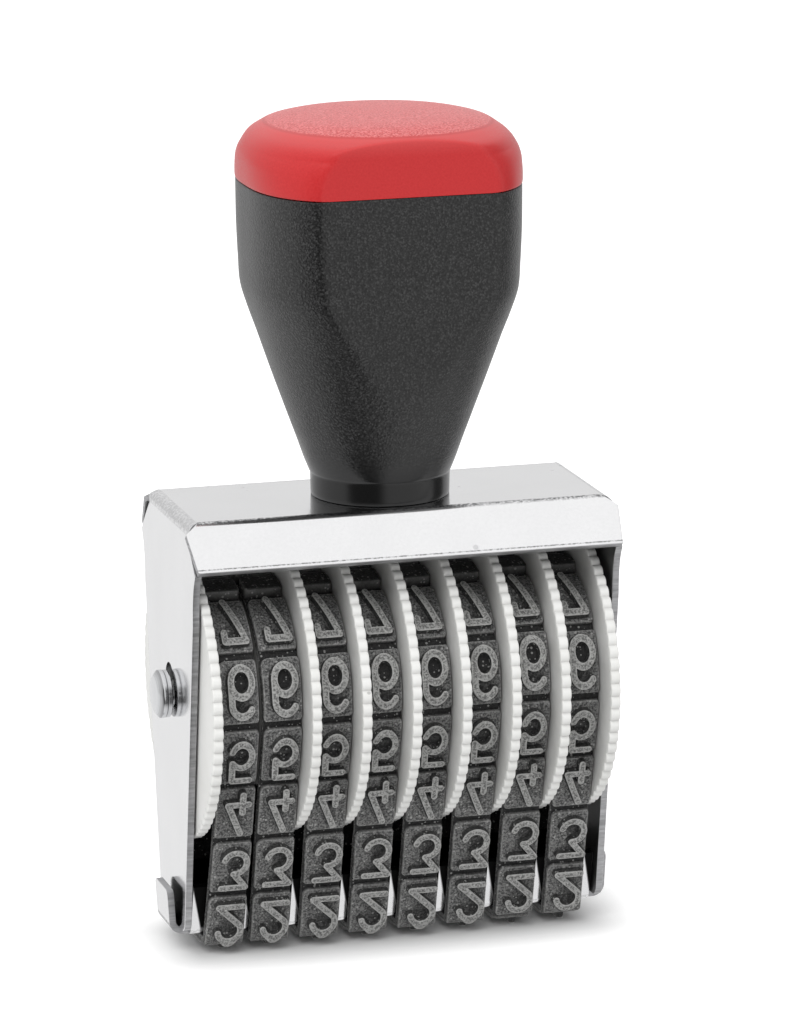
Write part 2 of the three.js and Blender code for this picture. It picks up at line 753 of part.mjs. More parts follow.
function screwGeometry() {
  const tip = screwHeadTop + screwLength;
  const profile = [
    [0, screwHeadTop - screwHeadHeight],
    [screwHeadRadius * 0.75, screwHeadTop - screwHeadHeight],
    [screwHeadRadius, screwHeadTop - screwHeadHeight * 0.6],
    [screwHeadRadius, screwHeadTop],
    [screwRadius, screwHeadTop],
    [screwRadius, tip],
    [0, tip],
  ];
  const points = profile.map(([r, z]) => new THREE.Vector2(r, z));
  const screw = new THREE.LatheGeometry(points, 12);
  screw.rotateX(Math.PI / 2);
  const slot = new THREE.BoxGeometry(3 * screwHeadRadius, screwSlotWidth, 2 * screwSlotDepth);
  slot.translate(0, 0, screwHeadTop - screwHeadHeight);
  return toGeometry(toSolid(screw).subtract(toSolid(slot)));
}

function washerGeometry() {
  const inner = screwRadius + seatGap;
  const profile = [
    [inner, washerTop - washerThickness],
    [washerRadius, washerTop - washerThickness],
    [washerRadius, washerTop],
    [inner, washerTop],
    [inner, washerTop - washerThickness],
  ];
  const points = profile.map(([r, z]) => new THREE.Vector2(r, z));
  const washer = new THREE.LatheGeometry(points, 14);
  washer.rotateX(Math.PI / 2);
  return washer;
}

// Materials

function material(colour, roughness, metalness) {
  return new THREE.MeshStandardMaterial({ color: colour, roughness, metalness });
}

const platedSheet = material(0xdfe0e2, 0.3, 0.85);
const turnedSteel = material(0xc6c8cb, 0.28, 0.9);
const whiteNylon = material(0xeeeeec, 0.5, 0);
const greyRubber = material(0x5b5b5a, 0.85, 0);
const blackPlastic = material(0x2f2f30, 0.62, 0);
const redPlastic = material(0xcf2f33, 0.42, 0);

// Assembly

const stamp = new THREE.Group();

function addPiece(name, geometry, look) {
  const piece = new THREE.Mesh(geometry, look);
  piece.name = name;
  stamp.add(piece);
  return piece;
}

addPiece('frame', frameGeometry(), platedSheet);
addPiece('bridge', bridgeGeometry(), platedSheet);
addPiece('axle', axleGeometry(), turnedSteel);

// The first wheel is turned round, so that its disc lies against the left cheek.
const stackEnd = cheekInner - seatGap - sheetThickness / 2;
const bandOffset = discThickness / 2 + runningGap + bandWidth / 2;
const firstBandOffset = bandOffset + firstBandClearance;
const firstDiscX = -(cheekInner - seatGap - discThickness / 2);
const wheel = wheelGeometry();

for (let n = 1; n <= bandCount; n += 1) {
  const isFirst = n === 1;
  const discX = isFirst ? firstDiscX : stackEnd - discThickness / 2 - (bandCount - n) * wheelPitch;
  const thumbWheel = addPiece(`thumb_wheel_${n}`, wheel, whiteNylon);
  thumbWheel.position.set(discX, 0, axleHeight);
  thumbWheel.rotation.z = isFirst ? Math.PI : 0;
  const advance = bandAdvanceShares[n - 1] * digitPitch;
  const band = addPiece(`number_band_${n}`, bandGeometry(advance), greyRubber);
  band.position.x = isFirst ? discX + firstBandOffset : discX - bandOffset;
}

addPiece('handle_body', handleGeometry(), blackPlastic);
addPiece('handle_cap', capGeometry(), redPlastic);
addPiece('handle_screw', screwGeometry(), turnedSteel);
addPiece('handle_washer', washerGeometry(), turnedSteel);

export default stamp;
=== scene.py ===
"""Hand numbering stamp with eight rubber number bands on thumb wheels.

Sizes are in millimetres until a mesh is made. X runs along the axle, -Y faces
the user, +Z is up, and the lowest digits touch z = 0.
"""

import math

import bpy
import numpy as np
from mathutils import Matrix


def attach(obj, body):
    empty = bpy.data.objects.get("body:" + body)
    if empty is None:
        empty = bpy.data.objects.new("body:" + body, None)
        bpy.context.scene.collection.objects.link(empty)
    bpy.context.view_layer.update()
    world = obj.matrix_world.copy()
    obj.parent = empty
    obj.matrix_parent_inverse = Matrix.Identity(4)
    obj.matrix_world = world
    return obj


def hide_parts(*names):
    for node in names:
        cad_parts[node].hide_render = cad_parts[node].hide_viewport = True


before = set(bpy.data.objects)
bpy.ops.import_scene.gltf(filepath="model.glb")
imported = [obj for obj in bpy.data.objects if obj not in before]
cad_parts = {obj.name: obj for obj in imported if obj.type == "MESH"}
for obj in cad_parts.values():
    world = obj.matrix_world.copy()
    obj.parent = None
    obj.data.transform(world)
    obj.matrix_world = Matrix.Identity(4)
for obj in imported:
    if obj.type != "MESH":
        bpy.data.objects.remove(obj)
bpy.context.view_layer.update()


# THE FRAME
# One strip of sheet steel, cut out flat and folded into a top plate with two
# cheeks and two sloping flanges, then polished and plated. It holds the axle,
# the bridge and the handle's screw.

SHEET = 1.05
SHEET_EDGE = 0.1
FOLD_RADIUS = 1.8
FOLD_STEPS = 12
LAP = 0.004
HALF_WIDTH = 32.5
FRAME_TOP = 67.35
CHEEK_FOOT = 4.0
AXLE_HEIGHT = 39.0
SLOT_TOP = 41.3
SLOT_RADIUS = 2.4
FLANGE_FOLD = np.array([11.8, 67.35])
FLANGE_FOOT = np.array([17.6, 61.3])
FLANGE_RUN = FLANGE_FOOT - FLANGE_FOLD
QUARTER = np.radians([0, 30, 60, 90])


def closed_shell(grid, wrap_rows=False, **marks):
    """A closed surface from a grid of points.

    Each quad joins point (i, j) to its neighbours in the next row and column.
    The columns run round and meet. The rows meet too if they wrap, and if not,
    a flat face closes the first and the last row. The faces are turned round
    if the volume that they enclose, the sum of a . (b x c) / 6 over their
    triangles, is negative. A mark is one number for each point.
    """
    rows, columns = grid.shape[:2]
    i, j = np.arange(rows if wrap_rows else rows - 1)[:, None], np.arange(columns)
    here, there = i * columns, ((i + 1) % rows) * columns
    beside = (j + 1) % columns
    quads = np.stack([here + j, here + beside, there + beside, there + j], axis=-1)
    faces = [quads.reshape(-1, 4)]
    points = grid.reshape(-1, 3)
    a, b, c, d = points[faces[0].T]
    volume = (a * np.cross(b, c)).sum() + (a * np.cross(c, d)).sum()
    if not wrap_rows:
        for ring in (j[::-1], (rows - 1) * columns + j):
            hub, b, c = points[ring[0]], points[ring[1:-1]], points[ring[2:]]
            volume += (hub * np.cross(b, c)).sum()
            faces.append(ring[None, :])
    if volume < 0:
        faces = [face[:, ::-1] for face in faces]
    marks = {key: np.broadcast_to(mark, (rows, columns)).reshape(-1) for key, mark in marks.items()}
    return points, faces, marks


def make_piece(name, shells, sharp_degrees=40):
    """One object from closed shells. Edges that turn by more than the angle are sharp."""
    points = np.concatenate([shell[0] for shell in shells])
    starts = np.cumsum([0] + [len(shell[0]) for shell in shells[:-1]])
    faces = [face + start for shell, start in zip(shells, starts) for face in shell[1]]
    corners = np.concatenate([face.reshape(-1) for face in faces])
    counts = np.concatenate([np.full(len(face), face.shape[1]) for face in faces])
    mesh = bpy.data.meshes.new(name)
    mesh.vertices.add(len(points))
    mesh.vertices.foreach_set("co", (points * 0.001).astype(np.float32).reshape(-1))
    mesh.loops.add(len(corners))
    mesh.loops.foreach_set("vertex_index", corners.astype(np.int32))
    mesh.polygons.add(len(counts))
    mesh.polygons.foreach_set("loop_start", (np.cumsum(counts) - counts).astype(np.int32))
    mesh.update(calc_edges=True)
    for key in sorted({key for shell in shells for key in shell[2]}):
        values = [shell[2].get(key, np.zeros(len(shell[0]))) for shell in shells]
        mark = mesh.attributes.new(key, "FLOAT", "POINT")
        mark.data.foreach_set("value", np.concatenate(values).astype(np.float32))
    mesh.shade_smooth()
    mesh.set_sharp_from_angle(angle=math.radians(sharp_degrees))
    piece = bpy.data.objects.new(name, mesh)
    bpy.context.scene.collection.objects.link(piece)
    return piece


def folded_line(corners, fold_radius, spacing):
    """Outer face of a folded sheet, seen end on, with its outward side on the left.

    Straight runs join the corners. At each inner corner an arc touches both
    runs, so it starts radius x tan(half the turn) before the corner. Gives the
    points, the outward directions, and a mark that is 1 in the folds.
    """
    corners = np.asarray(corners, float)
    runs = np.diff(corners, axis=0)
    lengths = np.hypot(runs[:, 0], runs[:, 1])
    ahead = runs / lengths[:, None]
    left = ahead[:, ::-1] * (-1, 1)
    turns = np.arccos(np.clip((ahead[:-1] * ahead[1:]).sum(axis=1), -1, 1))
    cuts = np.concatenate([[0], fold_radius * np.tan(turns / 2), [0]])
    rim = SHEET_EDGE * (1 - np.cos(QUARTER))
    points, outward, folds = [], [], []
    for k, length in enumerate(lengths):
        start, stop = cuts[k], length - cuts[k + 1]
        even = np.linspace(start, stop, max(2, math.ceil((stop - start) / spacing) + 1))
        first = rim if k == 0 else rim[-1:]
        last = rim if k == len(turns) else rim[-1:]
        along = np.unique(np.round(np.concatenate([even, start + first, stop - last]), 6))
        points.append(corners[k] + along[:, None] * ahead[k])
        outward.append(np.repeat(left[k:k + 1], len(along), axis=0))
        folds.append(np.zeros(len(along)))
        if k < len(turns):
            centre = corners[k + 1] - cuts[k + 1] * ahead[k] - fold_radius * left[k]
            turned = np.linspace(0, turns[k], FOLD_STEPS + 1)[1:-1]
            angle = math.atan2(left[k, 1], left[k, 0]) - turned
            direction = np.stack([np.cos(angle), np.sin(angle)], axis=1)
            points.append(centre + fold_radius * direction)
            outward.append(direction)
            folds.append(np.ones(len(angle)))
    return [np.concatenate(parts) for parts in (points, outward, folds)]


def sheet_strip(points, outward, axis, reach, folds, mirror=(1, 1, 1), round_last=True):
    """Shell of a sheet carried along a line that lies in its outer face.

    The line runs in Z and one more axis, 0 for X or 1 for Y. At each station
    the outline is a rectangle, `reach` to both sides across the line and one
    sheet deep against `outward`, with quarter circles for corners. At an end
    it is drawn in by r - sqrt(r^2 - (r - d)^2), where d is the distance from
    the end, so the end's edges are round as well.
    """
    r = SHEET_EDGE
    line, out = np.zeros((2, len(points), 3))
    line[:, [axis, 2]], out[:, [axis, 2]] = points, outward
    gone = np.concatenate([[0], np.cumsum(np.linalg.norm(np.diff(points, axis=0), axis=1))])
    from_end = np.minimum(gone, gone[-1] - gone) if round_last else gone
    inset = r - np.sqrt(r**2 - (r - np.minimum(from_end, r))**2)
    side = np.concatenate([[-2 * r], r * np.sin(QUARTER), r * np.cos(QUARTER), [-2 * r]])
    u = (reach - inset - r)[:, None] + side
    outer = inset[:, None] + np.concatenate([[0], r * (1 - np.cos(QUARTER))])
    inward = (SHEET - inset)[:, None] + np.concatenate([r * (np.sin(QUARTER) - 1), [0]])
    deep = np.concatenate([outer, inward, inward[:, ::-1], outer[:, ::-1]], axis=1)
    u = np.concatenate([u, -u[:, ::-1]], axis=1)
    cut = np.maximum(np.tile([0, 0, 0.4, 0.9, 1, 1, 0.9, 0.4, 0, 0], 2), (inset / r)[:, None])
    inner = np.repeat([0, 1, 0], [5, 10, 5])
    grid = line[:, None] + u[..., None] * np.eye(3)[1 - axis] - deep[..., None] * out[:, None]
    return closed_shell(grid * mirror, cut=cut, inner=inner, fold=folds[:, None])


def cheek_reach(z):
    """Half depth of a cheek at height z.

    A straight taper from the foot to the shoulder, then a flare, 14.8 + 2.8 t^2
    with z = 53 + 13.6 t - 5.3 t^2, and above it the slope behind the flange.
    The corners of the foot are quarter circles.
    """
    foot, shoulder, corner, shoulder_z = 7.2, 14.8, 1.5, 53
    flare_out, flare_up, flare_sag, behind_flange = 2.8, 13.6, 5.3, 1.94
    taper = foot + (shoulder - foot) * (z - CHEEK_FOOT) / (shoulder_z - CHEEK_FOOT)
    climb = np.clip(z - shoulder_z, 0, flare_up - flare_sag)
    t = (flare_up - np.sqrt(np.maximum(flare_up**2 - 4 * flare_sag * climb, 0))) / (2 * flare_sag)
    flare = shoulder + flare_out * t**2
    slope = FLANGE_RUN[0] / -FLANGE_RUN[1]
    behind = FLANGE_FOLD[0] + (FRAME_TOP - z) * slope - behind_flange
    outline = np.where(z < shoulder_z, np.minimum(taper, shoulder), np.minimum(flare, behind))
    low = np.clip(corner - (z - CHEEK_FOOT), 0, corner)
    return outline - (corner - np.sqrt(corner**2 - low**2))


def hoop_shell():
    """The top plate and both cheeks: a sheet carried up, across the top and down again.

    In the folds its edge runs along the flange's slope, a little inside it.
    """
    corners = [(-HALF_WIDTH, CHEEK_FOOT), (-HALF_WIDTH, FRAME_TOP),
               (HALF_WIDTH, FRAME_TOP), (HALF_WIDTH, CHEEK_FOOT)]
    points, outward, folds = folded_line(corners, FOLD_RADIUS, 0.3)
    z = points[:, 1]
    plate_half, inside_by, edge_slope = 11.25, 0.2, 0.959
    edge = FLANGE_FOLD[0] - inside_by + (FRAME_TOP - z) * edge_slope
    plate = np.where(z > FRAME_TOP - 1e-3, plate_half, edge)
    reach = np.where(z > FRAME_TOP - FOLD_RADIUS, plate, cheek_reach(z))
    return sheet_strip(points, outward, 0, reach, 0.35 * folds)


def flange_shell(facing):
    """One flange: a sheet carried from its foot up the slope and over on to the top plate's edge.

    Its half width is 30.9 at the fold, 32.9 at 1.8 mm below it and 32.2 at the
    foot. A faint line, a bell curve 0.45 mm from the foot, is the shear's mark.
    """
    corners = [(-FLANGE_FOOT[0], FLANGE_FOOT[1]),
               (-FLANGE_FOLD[0], FRAME_TOP + LAP), (-10.85, FRAME_TOP + LAP)]
    points, outward, folds = folded_line(corners, FOLD_RADIUS, 0.12)
    below = (FRAME_TOP - points[:, 1]) / -FLANGE_RUN[1] * np.hypot(*FLANGE_RUN)
    reach = np.interp(below, [0.0, 1.8, 8.38], [30.9, 32.9, 32.2])
    shear_mark = 1.5 * np.exp(-((below - 7.93) / 0.08) ** 2)
    folds = folds * np.clip(1.4 - below / 0.35, 0, 1) + shear_mark
    return sheet_strip(points, outward, 1, reach, folds, (1, -facing, 1), round_last=False)


def cut_out(piece, cutter):
    """Takes the cutter's solid away from the piece, and then the cutter itself."""
    cut = piece.modifiers.new("cut", "BOOLEAN")
    cut.operation, cut.solver, cut.object = "DIFFERENCE", "EXACT", cutter
    shaped = piece.evaluated_get(bpy.context.evaluated_depsgraph_get())
    mesh = bpy.data.meshes.new_from_object(shaped)
    piece.modifiers.clear()
    old, piece.data = piece.data, mesh
    mesh.name = piece.name
    mesh.materials.clear()
    bpy.data.meshes.remove(old)
    bpy.data.objects.remove(cutter)


def join_pieces(pieces, sharp_degrees=40):
    """All the pieces as one object, under the first one's name."""
    with bpy.context.temp_override(active_object=pieces[0], selected_editable_objects=pieces):
        bpy.ops.object.join()
    pieces[0].data.set_sharp_from_angle(angle=math.radians(sharp_degrees))
    return pieces[0]


def bar_along_x(outline, half_length):
    """A closed outline of (y, z) points carried along X to both sides."""
    outline = np.column_stack([np.zeros(len(outline)), outline])
    step = np.array([half_length, 0, 0])
    return closed_shell(np.stack([outline - step, outline + step]))


def axle_slot():
    """The upright slot in both cheeks: two half circles, one above the other, joined."""
    half_turn = np.linspace(0, math.pi, 25)
    y, rise = SLOT_RADIUS * np.cos(half_turn), SLOT_RADIUS * np.sin(half_turn)
    upper, lower = (y, SLOT_TOP + rise), (-y, AXLE_HEIGHT - rise)
    return np.concatenate([upper, lower], axis=1).T


def paint(red, green, blue):
    """A colour that is written as it looks on a screen, 0 to 255, turned into light."""
    value = np.array([red, green, blue]) / 255
    light = np.where(value <= 0.04045, value / 12.92, ((value + 0.055) / 1.055) ** 2.4)
    return (*light.tolist(), 1.0)


def dimmed(colour, share):
    """A colour at a share of its light."""
    return (*(share * light for light in colour[:3]), 1.0)


def put(tree, kind, inputs=None, **settings):
    """Adds one node. An input is a plain value, or the output that feeds it."""
    node = tree.nodes.new(kind)
    for key, value in settings.items():
        setattr(node, key, value)
    for key, value in (inputs or {}).items():
        socket = node.inputs[key]
        if isinstance(value, bpy.types.NodeSocket):
            tree.links.new(value, socket)
        else:
            socket.default_value = value
    return node


def sums(tree, operation, a, b=0.0, c=0.0, clamp=False):
    """A Math node's output."""
    inputs = {0: a, 1: b, 2: c}
    return put(tree, "ShaderNodeMath", inputs, operation=operation, use_clamp=clamp).outputs[0]


def times(tree, a, b):
    """a x b."""
    return sums(tree, "MULTIPLY", a, b)


def spread(tree, value, low, high, to_low=0.0, to_high=1.0):
    """Maps low..high to to_low..to_high, and holds the ends."""
    keys = ("Value", "From Min", "From Max", "To Min", "To Max")
    inputs = dict(zip(keys, (value, low, high, to_low, to_high)))
    return put(tree, "ShaderNodeMapRange", inputs).outputs["Result"]


def blend(tree, factor, a, b):
    """A colour between a and b."""
    return put(tree, "ShaderNodeMix", {0: factor, 6: a, 7: b}, data_type="RGBA").outputs[2]


def noise(tree, place, scale, detail):
    """Soft noise, about 0.5."""
    inputs = {"Vector": place, "Scale": scale, "Detail": detail}
    return put(tree, "ShaderNodeTexNoise", inputs).outputs["Fac"]


def new_group(name, inputs, output):
    """A shader node group with a place, number inputs with usual values, and one output."""
    group = bpy.data.node_groups.new(name, "ShaderNodeTree")
    group.interface.new_socket("Place", in_out="INPUT", socket_type="NodeSocketVector")
    for key, value in inputs.items():
        socket = group.interface.new_socket(key, in_out="INPUT", socket_type="NodeSocketFloat")
        socket.default_value = value
    group.interface.new_socket(output, in_out="OUTPUT", socket_type="NodeSocketFloat")
    return group, group.nodes.new("NodeGroupInput"), group.nodes.new("NodeGroupOutput")


def make_specks_group():
    """Small round specks: in a share of a Voronoi pattern's cells, a dot round the cell's point."""
    usual = {"Cells per Metre": 1000.0, "Share": 0.2, "Dot Size": 0.3}
    group, start, end = new_group("fine specks", usual, "Mask")
    place, per_metre, share, dot_size = (start.outputs[k] for k in range(4))
    cells = put(group, "ShaderNodeTexVoronoi", {"Vector": place, "Scale": per_metre})
    chosen = put(group, "ShaderNodeSeparateColor", {"Color": cells.outputs["Color"]})
    picked = sums(group, "LESS_THAN", chosen.outputs[0], share)
    size = times(group, dot_size, sums(group, "ADD", chosen.outputs[1], 0.4))
    near = sums(group, "DIVIDE", cells.outputs["Distance"], size)
    dot = spread(group, near, 0.7, 1.0, 1.0, 0.0)
    group.links.new(times(group, dot, picked), end.inputs["Mask"])
    return group


def make_grain_group():
    """Even grain: fine noise plus half as much of a noise at 2.7 times the scale."""
    group, start, end = new_group("fine grain", {"Grains per Metre": 1000.0}, "Height")
    place, per_metre = start.outputs[0], start.outputs[1]
    coarse = noise(group, place, per_metre, 1.0)
    fine = noise(group, place, times(group, per_metre, 2.7), 1.0)
    both = sums(group, "MULTIPLY_ADD", fine, 0.5, coarse)
    group.links.new(times(group, both, 0.6667), end.inputs["Height"])
    return group


fine_specks = make_specks_group()
fine_grain = make_grain_group()


def specks_at(tree, place, per_metre, share, size):
    """The specks' mask in a material."""
    inputs = {"Place": place, "Cells per Metre": per_metre, "Share": share, "Dot Size": size}
    return put(tree, "ShaderNodeGroup", inputs, node_tree=fine_specks).outputs[0]


def grain_at(tree, place, per_metre):
    """The grain's height in a material, about 0.5."""
    inputs = {"Place": place, "Grains per Metre": per_metre}
    return put(tree, "ShaderNodeGroup", inputs, node_tree=fine_grain).outputs[0]


def new_material(name, shader_inputs):
    """A material with one Principled shader, and the place of each point in metres."""
    material = bpy.data.materials.new(name)
    material.use_nodes = True
    tree = material.node_tree
    for key, value in shader_inputs.items():
        tree.nodes["Principled BSDF"].inputs[key].default_value = value
    return material, tree, put(tree, "ShaderNodeTexCoord").outputs["Object"]


def finish_shader(tree, colour, rough, rises, distance, strength):
    """Feeds the Principled shader its colour, roughness and bumps, whose depth is in metres."""
    inputs = {"Height": rises, "Distance": distance, "Strength": strength}
    bump = put(tree, "ShaderNodeBump", inputs).outputs[0]
    for key, output in (("Base Color", colour), ("Roughness", rough), ("Normal", bump)):
        tree.links.new(output, tree.nodes["Principled BSDF"].inputs[key])


def marks_of(tree, *names):
    """The values of a piece's own marks."""
    return [put(tree, "ShaderNodeAttribute", attribute_name=name).outputs["Fac"] for name in names]


def plated_steel(name, bright, dull, roughness, inside):
    """Polished plate with a few specks: rough in the folds, streaked where cut, and painted shade
    on the inner faces.
    """
    material, tree, place = new_material(name, {"Metallic": 1.0})
    cut, fold, inner = marks_of(tree, "cut", "fold", "inner")
    sheared = spread(tree, cut, 0.5, 0.95)
    specks = specks_at(tree, place, 420.0, 0.16, 0.16)
    skin = grain_at(tree, place, 2300.0)
    cloud = noise(tree, place, 90.0, 3.0)
    stretched = put(tree, "ShaderNodeMapping", {"Vector": place, "Scale": (300.0, 300.0, 2400.0)})
    streaks = noise(tree, stretched.outputs[0], 1.0, 2.0)
    face = blend(tree, spread(tree, cloud, 0.35, 0.7), bright, dimmed(bright, 0.965))
    face = blend(tree, spread(tree, skin, 0.35, 0.65, 0.0, 0.35), face, dimmed(bright, 0.9))
    face = blend(tree, times(tree, specks, 0.5), face, dull)
    mottled = times(tree, fold, spread(tree, skin, 0.40, 0.60, 0.25, 1.0))
    face = blend(tree, mottled, face, paint(112, 112, 114))
    edge = blend(tree, spread(tree, streaks, 0.3, 0.7), dimmed(dull, 0.6), dull)
    # Painted shade: the inner faces are darkened nearly to black, by the share `inside`, except on
    # cut edges.
    painted_inner_shade = times(tree, inner, sums(tree, "SUBTRACT", inside, sheared, clamp=True))
    colour = blend(tree, painted_inner_shade, blend(tree, sheared, face, edge), paint(26, 26, 26))
    rough = spread(tree, cloud, 0.3, 0.7, roughness, roughness + 0.05)
    for mask, rougher in ((fold, 0.12), (sheared, 0.34), (painted_inner_shade, 0.5), (specks, 0.2)):
        rough = sums(tree, "MULTIPLY_ADD", mask, rougher, rough)
    strength = sums(tree, "MULTIPLY_ADD", fold, 0.40, 0.05)
    finish_shader(tree, colour, rough, blend(tree, sheared, skin, streaks), 0.00006, strength)
    return material


frame_piece = make_piece("frame_sheet", [hoop_shell()])
cut_out(frame_piece, make_piece("axle_slot_cutter", [bar_along_x(axle_slot(), 40)]))
flanges = make_piece("frame_flanges", [flange_shell(1), flange_shell(-1)])
frame_piece = join_pieces([frame_piece, flanges])
# The last number is the share of painted shade on the inner faces.
plated_sheet = plated_steel("plated_sheet", paint(238, 238, 239), paint(196, 196, 198), 0.10, 0.7)
frame_piece.data.materials.append(plated_sheet)
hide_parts("frame")
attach(frame_piece, "stamp")


# THE BRIDGE
# A channel folded from the same plated sheet. The bands slide round its floor,
# and a tab at each end passes under the cheek and is turned up outside it.

BRIDGE_BOTTOM = 2.9
BRIDGE_TOP = 10.9
BRIDGE_FOOT = 4.93
BRIDGE_LEAN = math.tan(math.radians(15.75))
CHANNEL_HALF = 31.1
TAB_HALF = 3.8
TAB_TOP = 9.7
TAB_CORNER = 0.9
BAND_PITCH = 7.6


def channel_shell():
    """The channel between the cheeks: a sheet carried down one wall, along the floor and up."""
    rim = BRIDGE_FOOT + BRIDGE_LEAN * (BRIDGE_TOP - BRIDGE_BOTTOM)
    corners = [(rim, BRIDGE_TOP), (BRIDGE_FOOT, BRIDGE_BOTTOM),
               (-BRIDGE_FOOT, BRIDGE_BOTTOM), (-rim, BRIDGE_TOP)]
    points, outward, folds = folded_line(corners, 1.2, 1.0)
    return sheet_strip(points, outward, 1, CHANNEL_HALF, 0.3 * folds)


def tab_shell(side):
    """One end tab: a sheet carried down its outer face, round the fold and in under the cheek.

    Its free corners are quarter circles.
    """
    low = BRIDGE_BOTTOM - LAP
    points, outward, folds = folded_line([(34.3, TAB_TOP), (33.9, low), (29.0, low)], 2.0, 0.2)
    short = np.clip(TAB_CORNER - (TAB_TOP - points[:, 1]), 0, TAB_CORNER)
    reach = TAB_HALF - (TAB_CORNER - np.sqrt(TAB_CORNER**2 - short**2))
    return sheet_strip(points, outward, 0, reach, folds, (side, 1, 1))


def axes_of(tree, vector):
    """The X, Y and Z of a vector."""
    return put(tree, "ShaderNodeSeparateXYZ", {"Vector": vector}).outputs


def shade_walls_behind_bands(material):
    """Paints shade on the walls behind the bands, where the bands' shadow and dark reflection fall,
    and leaves a pale wedge in each gap.

    Across X the pattern repeats with the bands. From each gap's left side the
    wedge is 1.7 wide at height 3 and runs out to nothing at 10.6.
    """
    tree = material.node_tree
    x, _, z = axes_of(tree, put(tree, "ShaderNodeTexCoord").outputs["Object"])
    cells = sums(tree, "MULTIPLY_ADD", x, 1000 / BAND_PITCH, 15.9 / BAND_PITCH + 5)
    wedge = spread(tree, z, 0.003, 0.0106, 1.7 / BAND_PITCH, 0.0)
    past = sums(tree, "SUBTRACT", sums(tree, "FRACT", cells), wedge)
    inboard = spread(tree, sums(tree, "ABSOLUTE", x), 0.0310, 0.0313, 1.0, 0.0)
    # Painted shade: the wall is darkened everywhere behind a band, outside each gap's pale wedge.
    painted_band_shadow = times(tree, spread(tree, past, -0.015, 0.015), inboard)
    painted_band_shadow = times(tree, painted_band_shadow, spread(tree, z, 0.0032, 0.0042))
    shader = tree.nodes["Principled BSDF"]
    colour, rough = shader.inputs["Base Color"], shader.inputs["Roughness"]
    plain_colour, plain_rough = colour.links[0].from_socket, rough.links[0].from_socket
    tree.links.new(blend(tree, painted_band_shadow, plain_colour, paint(24, 24, 24)), colour)
    tree.links.new(sums(tree, "MULTIPLY_ADD", painted_band_shadow, 0.5, plain_rough), rough)


bridge_piece = make_piece("bridge_channel", [channel_shell(), tab_shell(1), tab_shell(-1)])
plated_strip = plated_steel("plated_strip", paint(236, 236, 237), paint(190, 190, 192), 0.11, 1.0)
shade_walls_behind_bands(plated_strip)
bridge_piece.data.materials.append(plated_strip)
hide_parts("bridge")
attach(bridge_piece, "stamp")


# THE AXLE
# A steel pin turned on a lathe. It carries all eight wheels, and a stepped and
# chamfered head is turned on it outside each cheek.

def turned_shell(profile, centre, axis, around=96, wrap_rows=False, **marks):
    """A profile of (distance along the axis, radius) pairs turned about the axis.

    The angle is the second parameter.
    """
    profile = np.asarray(profile, float)
    angle = np.linspace(0, 2 * math.pi, around, endpoint=False)
    first, second = [(1, 2), (2, 0), (0, 1)][axis]
    grid = np.zeros((len(profile), around, 3))
    grid[..., axis] = profile[:, :1]
    grid[..., first] = profile[:, 1:] * np.cos(angle)
    grid[..., second] = profile[:, 1:] * np.sin(angle)
    return closed_shell(grid + np.asarray(centre, float), wrap_rows, **marks)


# Half of the axle from its middle to one end: the shank, the head's collar, a
# groove, the head's rim and its chamfer. Painted shade lies in dark lines at three of its corners.
HALF_AXLE = np.array([
    (0, 2.1), (32.6, 2.1), (32.72, 2.14), (32.8, 2.25), (32.8, 3.35), (32.83, 3.47), (32.92, 3.55),
    (33.1, 3.56), (33.42, 3.56), (33.47, 3.5), (33.52, 3.47), (33.57, 3.5), (33.62, 3.58),
    (33.7, 3.6), (34.12, 3.6), (34.24, 3.57), (34.34, 3.49), (34.86, 2.86), (34.93, 2.74),
    (34.96, 2.6), (34.98, 2.3), (35.02, 1.6), (35.05, 0.8), (35.06, 0.05)])
SHADED_CORNERS_AT = (32.8, 33.52, 34.29)


def length_of(tree, x, y):
    """The length of (x, y)."""
    return sums(tree, "SQRT", sums(tree, "MULTIPLY_ADD", x, x, times(tree, y, y)))


def turned_steel(name, colour, axis, centre, roughness):
    """Bright turned steel: rings from noise of the distance to the axis, painted shade in dark
    lines at marked corners, and specks.
    """
    material, tree, place = new_material(name, {"Metallic": 1.0})
    line = marks_of(tree, "line")[0]
    offset = put(tree, "ShaderNodeVectorMath", {0: place, 1: centre}, operation="SUBTRACT")
    parts = axes_of(tree, offset.outputs[0])
    radius = length_of(tree, *(parts[k] for k in range(3) if k != axis))
    coil = sums(tree, "ADD", radius, times(tree, parts[axis], 0.8))
    ring_inputs = {"W": coil, "Scale": 9000.0, "Detail": 2.0}
    rings = put(tree, "ShaderNodeTexNoise", ring_inputs, noise_dimensions="1D").outputs["Fac"]
    specks = specks_at(tree, place, 900.0, 0.12, 0.2)
    worn = blend(tree, spread(tree, rings, 0.3, 0.75), colour, dimmed(colour, 0.8))
    # Painted shade: dark lines wherever the `line` mark is set, at the axle's corners.
    worn = blend(tree, times(tree, line, 0.6), worn, paint(70, 70, 72))
    worn = blend(tree, times(tree, specks, 0.6), worn, paint(90, 90, 92))
    rough = spread(tree, rings, 0.3, 0.8, roughness, roughness + 0.12)
    finish_shader(tree, worn, rough, rings, 0.00002, 0.35)
    return material


whole_axle = np.concatenate([HALF_AXLE[::-1] * (-1, 1), HALF_AXLE[1:]])
from_lines = np.abs(np.abs(whole_axle[:, :1]) - SHADED_CORNERS_AT).min(axis=1)
painted_corner_shade = np.clip(1.5 - from_lines / 0.08, 0, 1)[:, None]
axle_middle = np.array([0, 0, AXLE_HEIGHT])
axle_shell = turned_shell(whole_axle, axle_middle, 0, line=painted_corner_shade)
axle_piece = make_piece("axle_pin", [axle_shell], sharp_degrees=35)
turned_pin = turned_steel("turned_pin", paint(226, 227, 229), 0, axle_middle * 0.001, 0.05)
axle_piece.data.materials.append(turned_pin)
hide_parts("axle")
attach(axle_piece, "stamp")


# THE THUMB WHEELS
# Eight wheels moulded in white nylon: a thin disc with a scalloped rim that the
# thumb turns, and a drum beside it that drives its band. They turn on the axle.

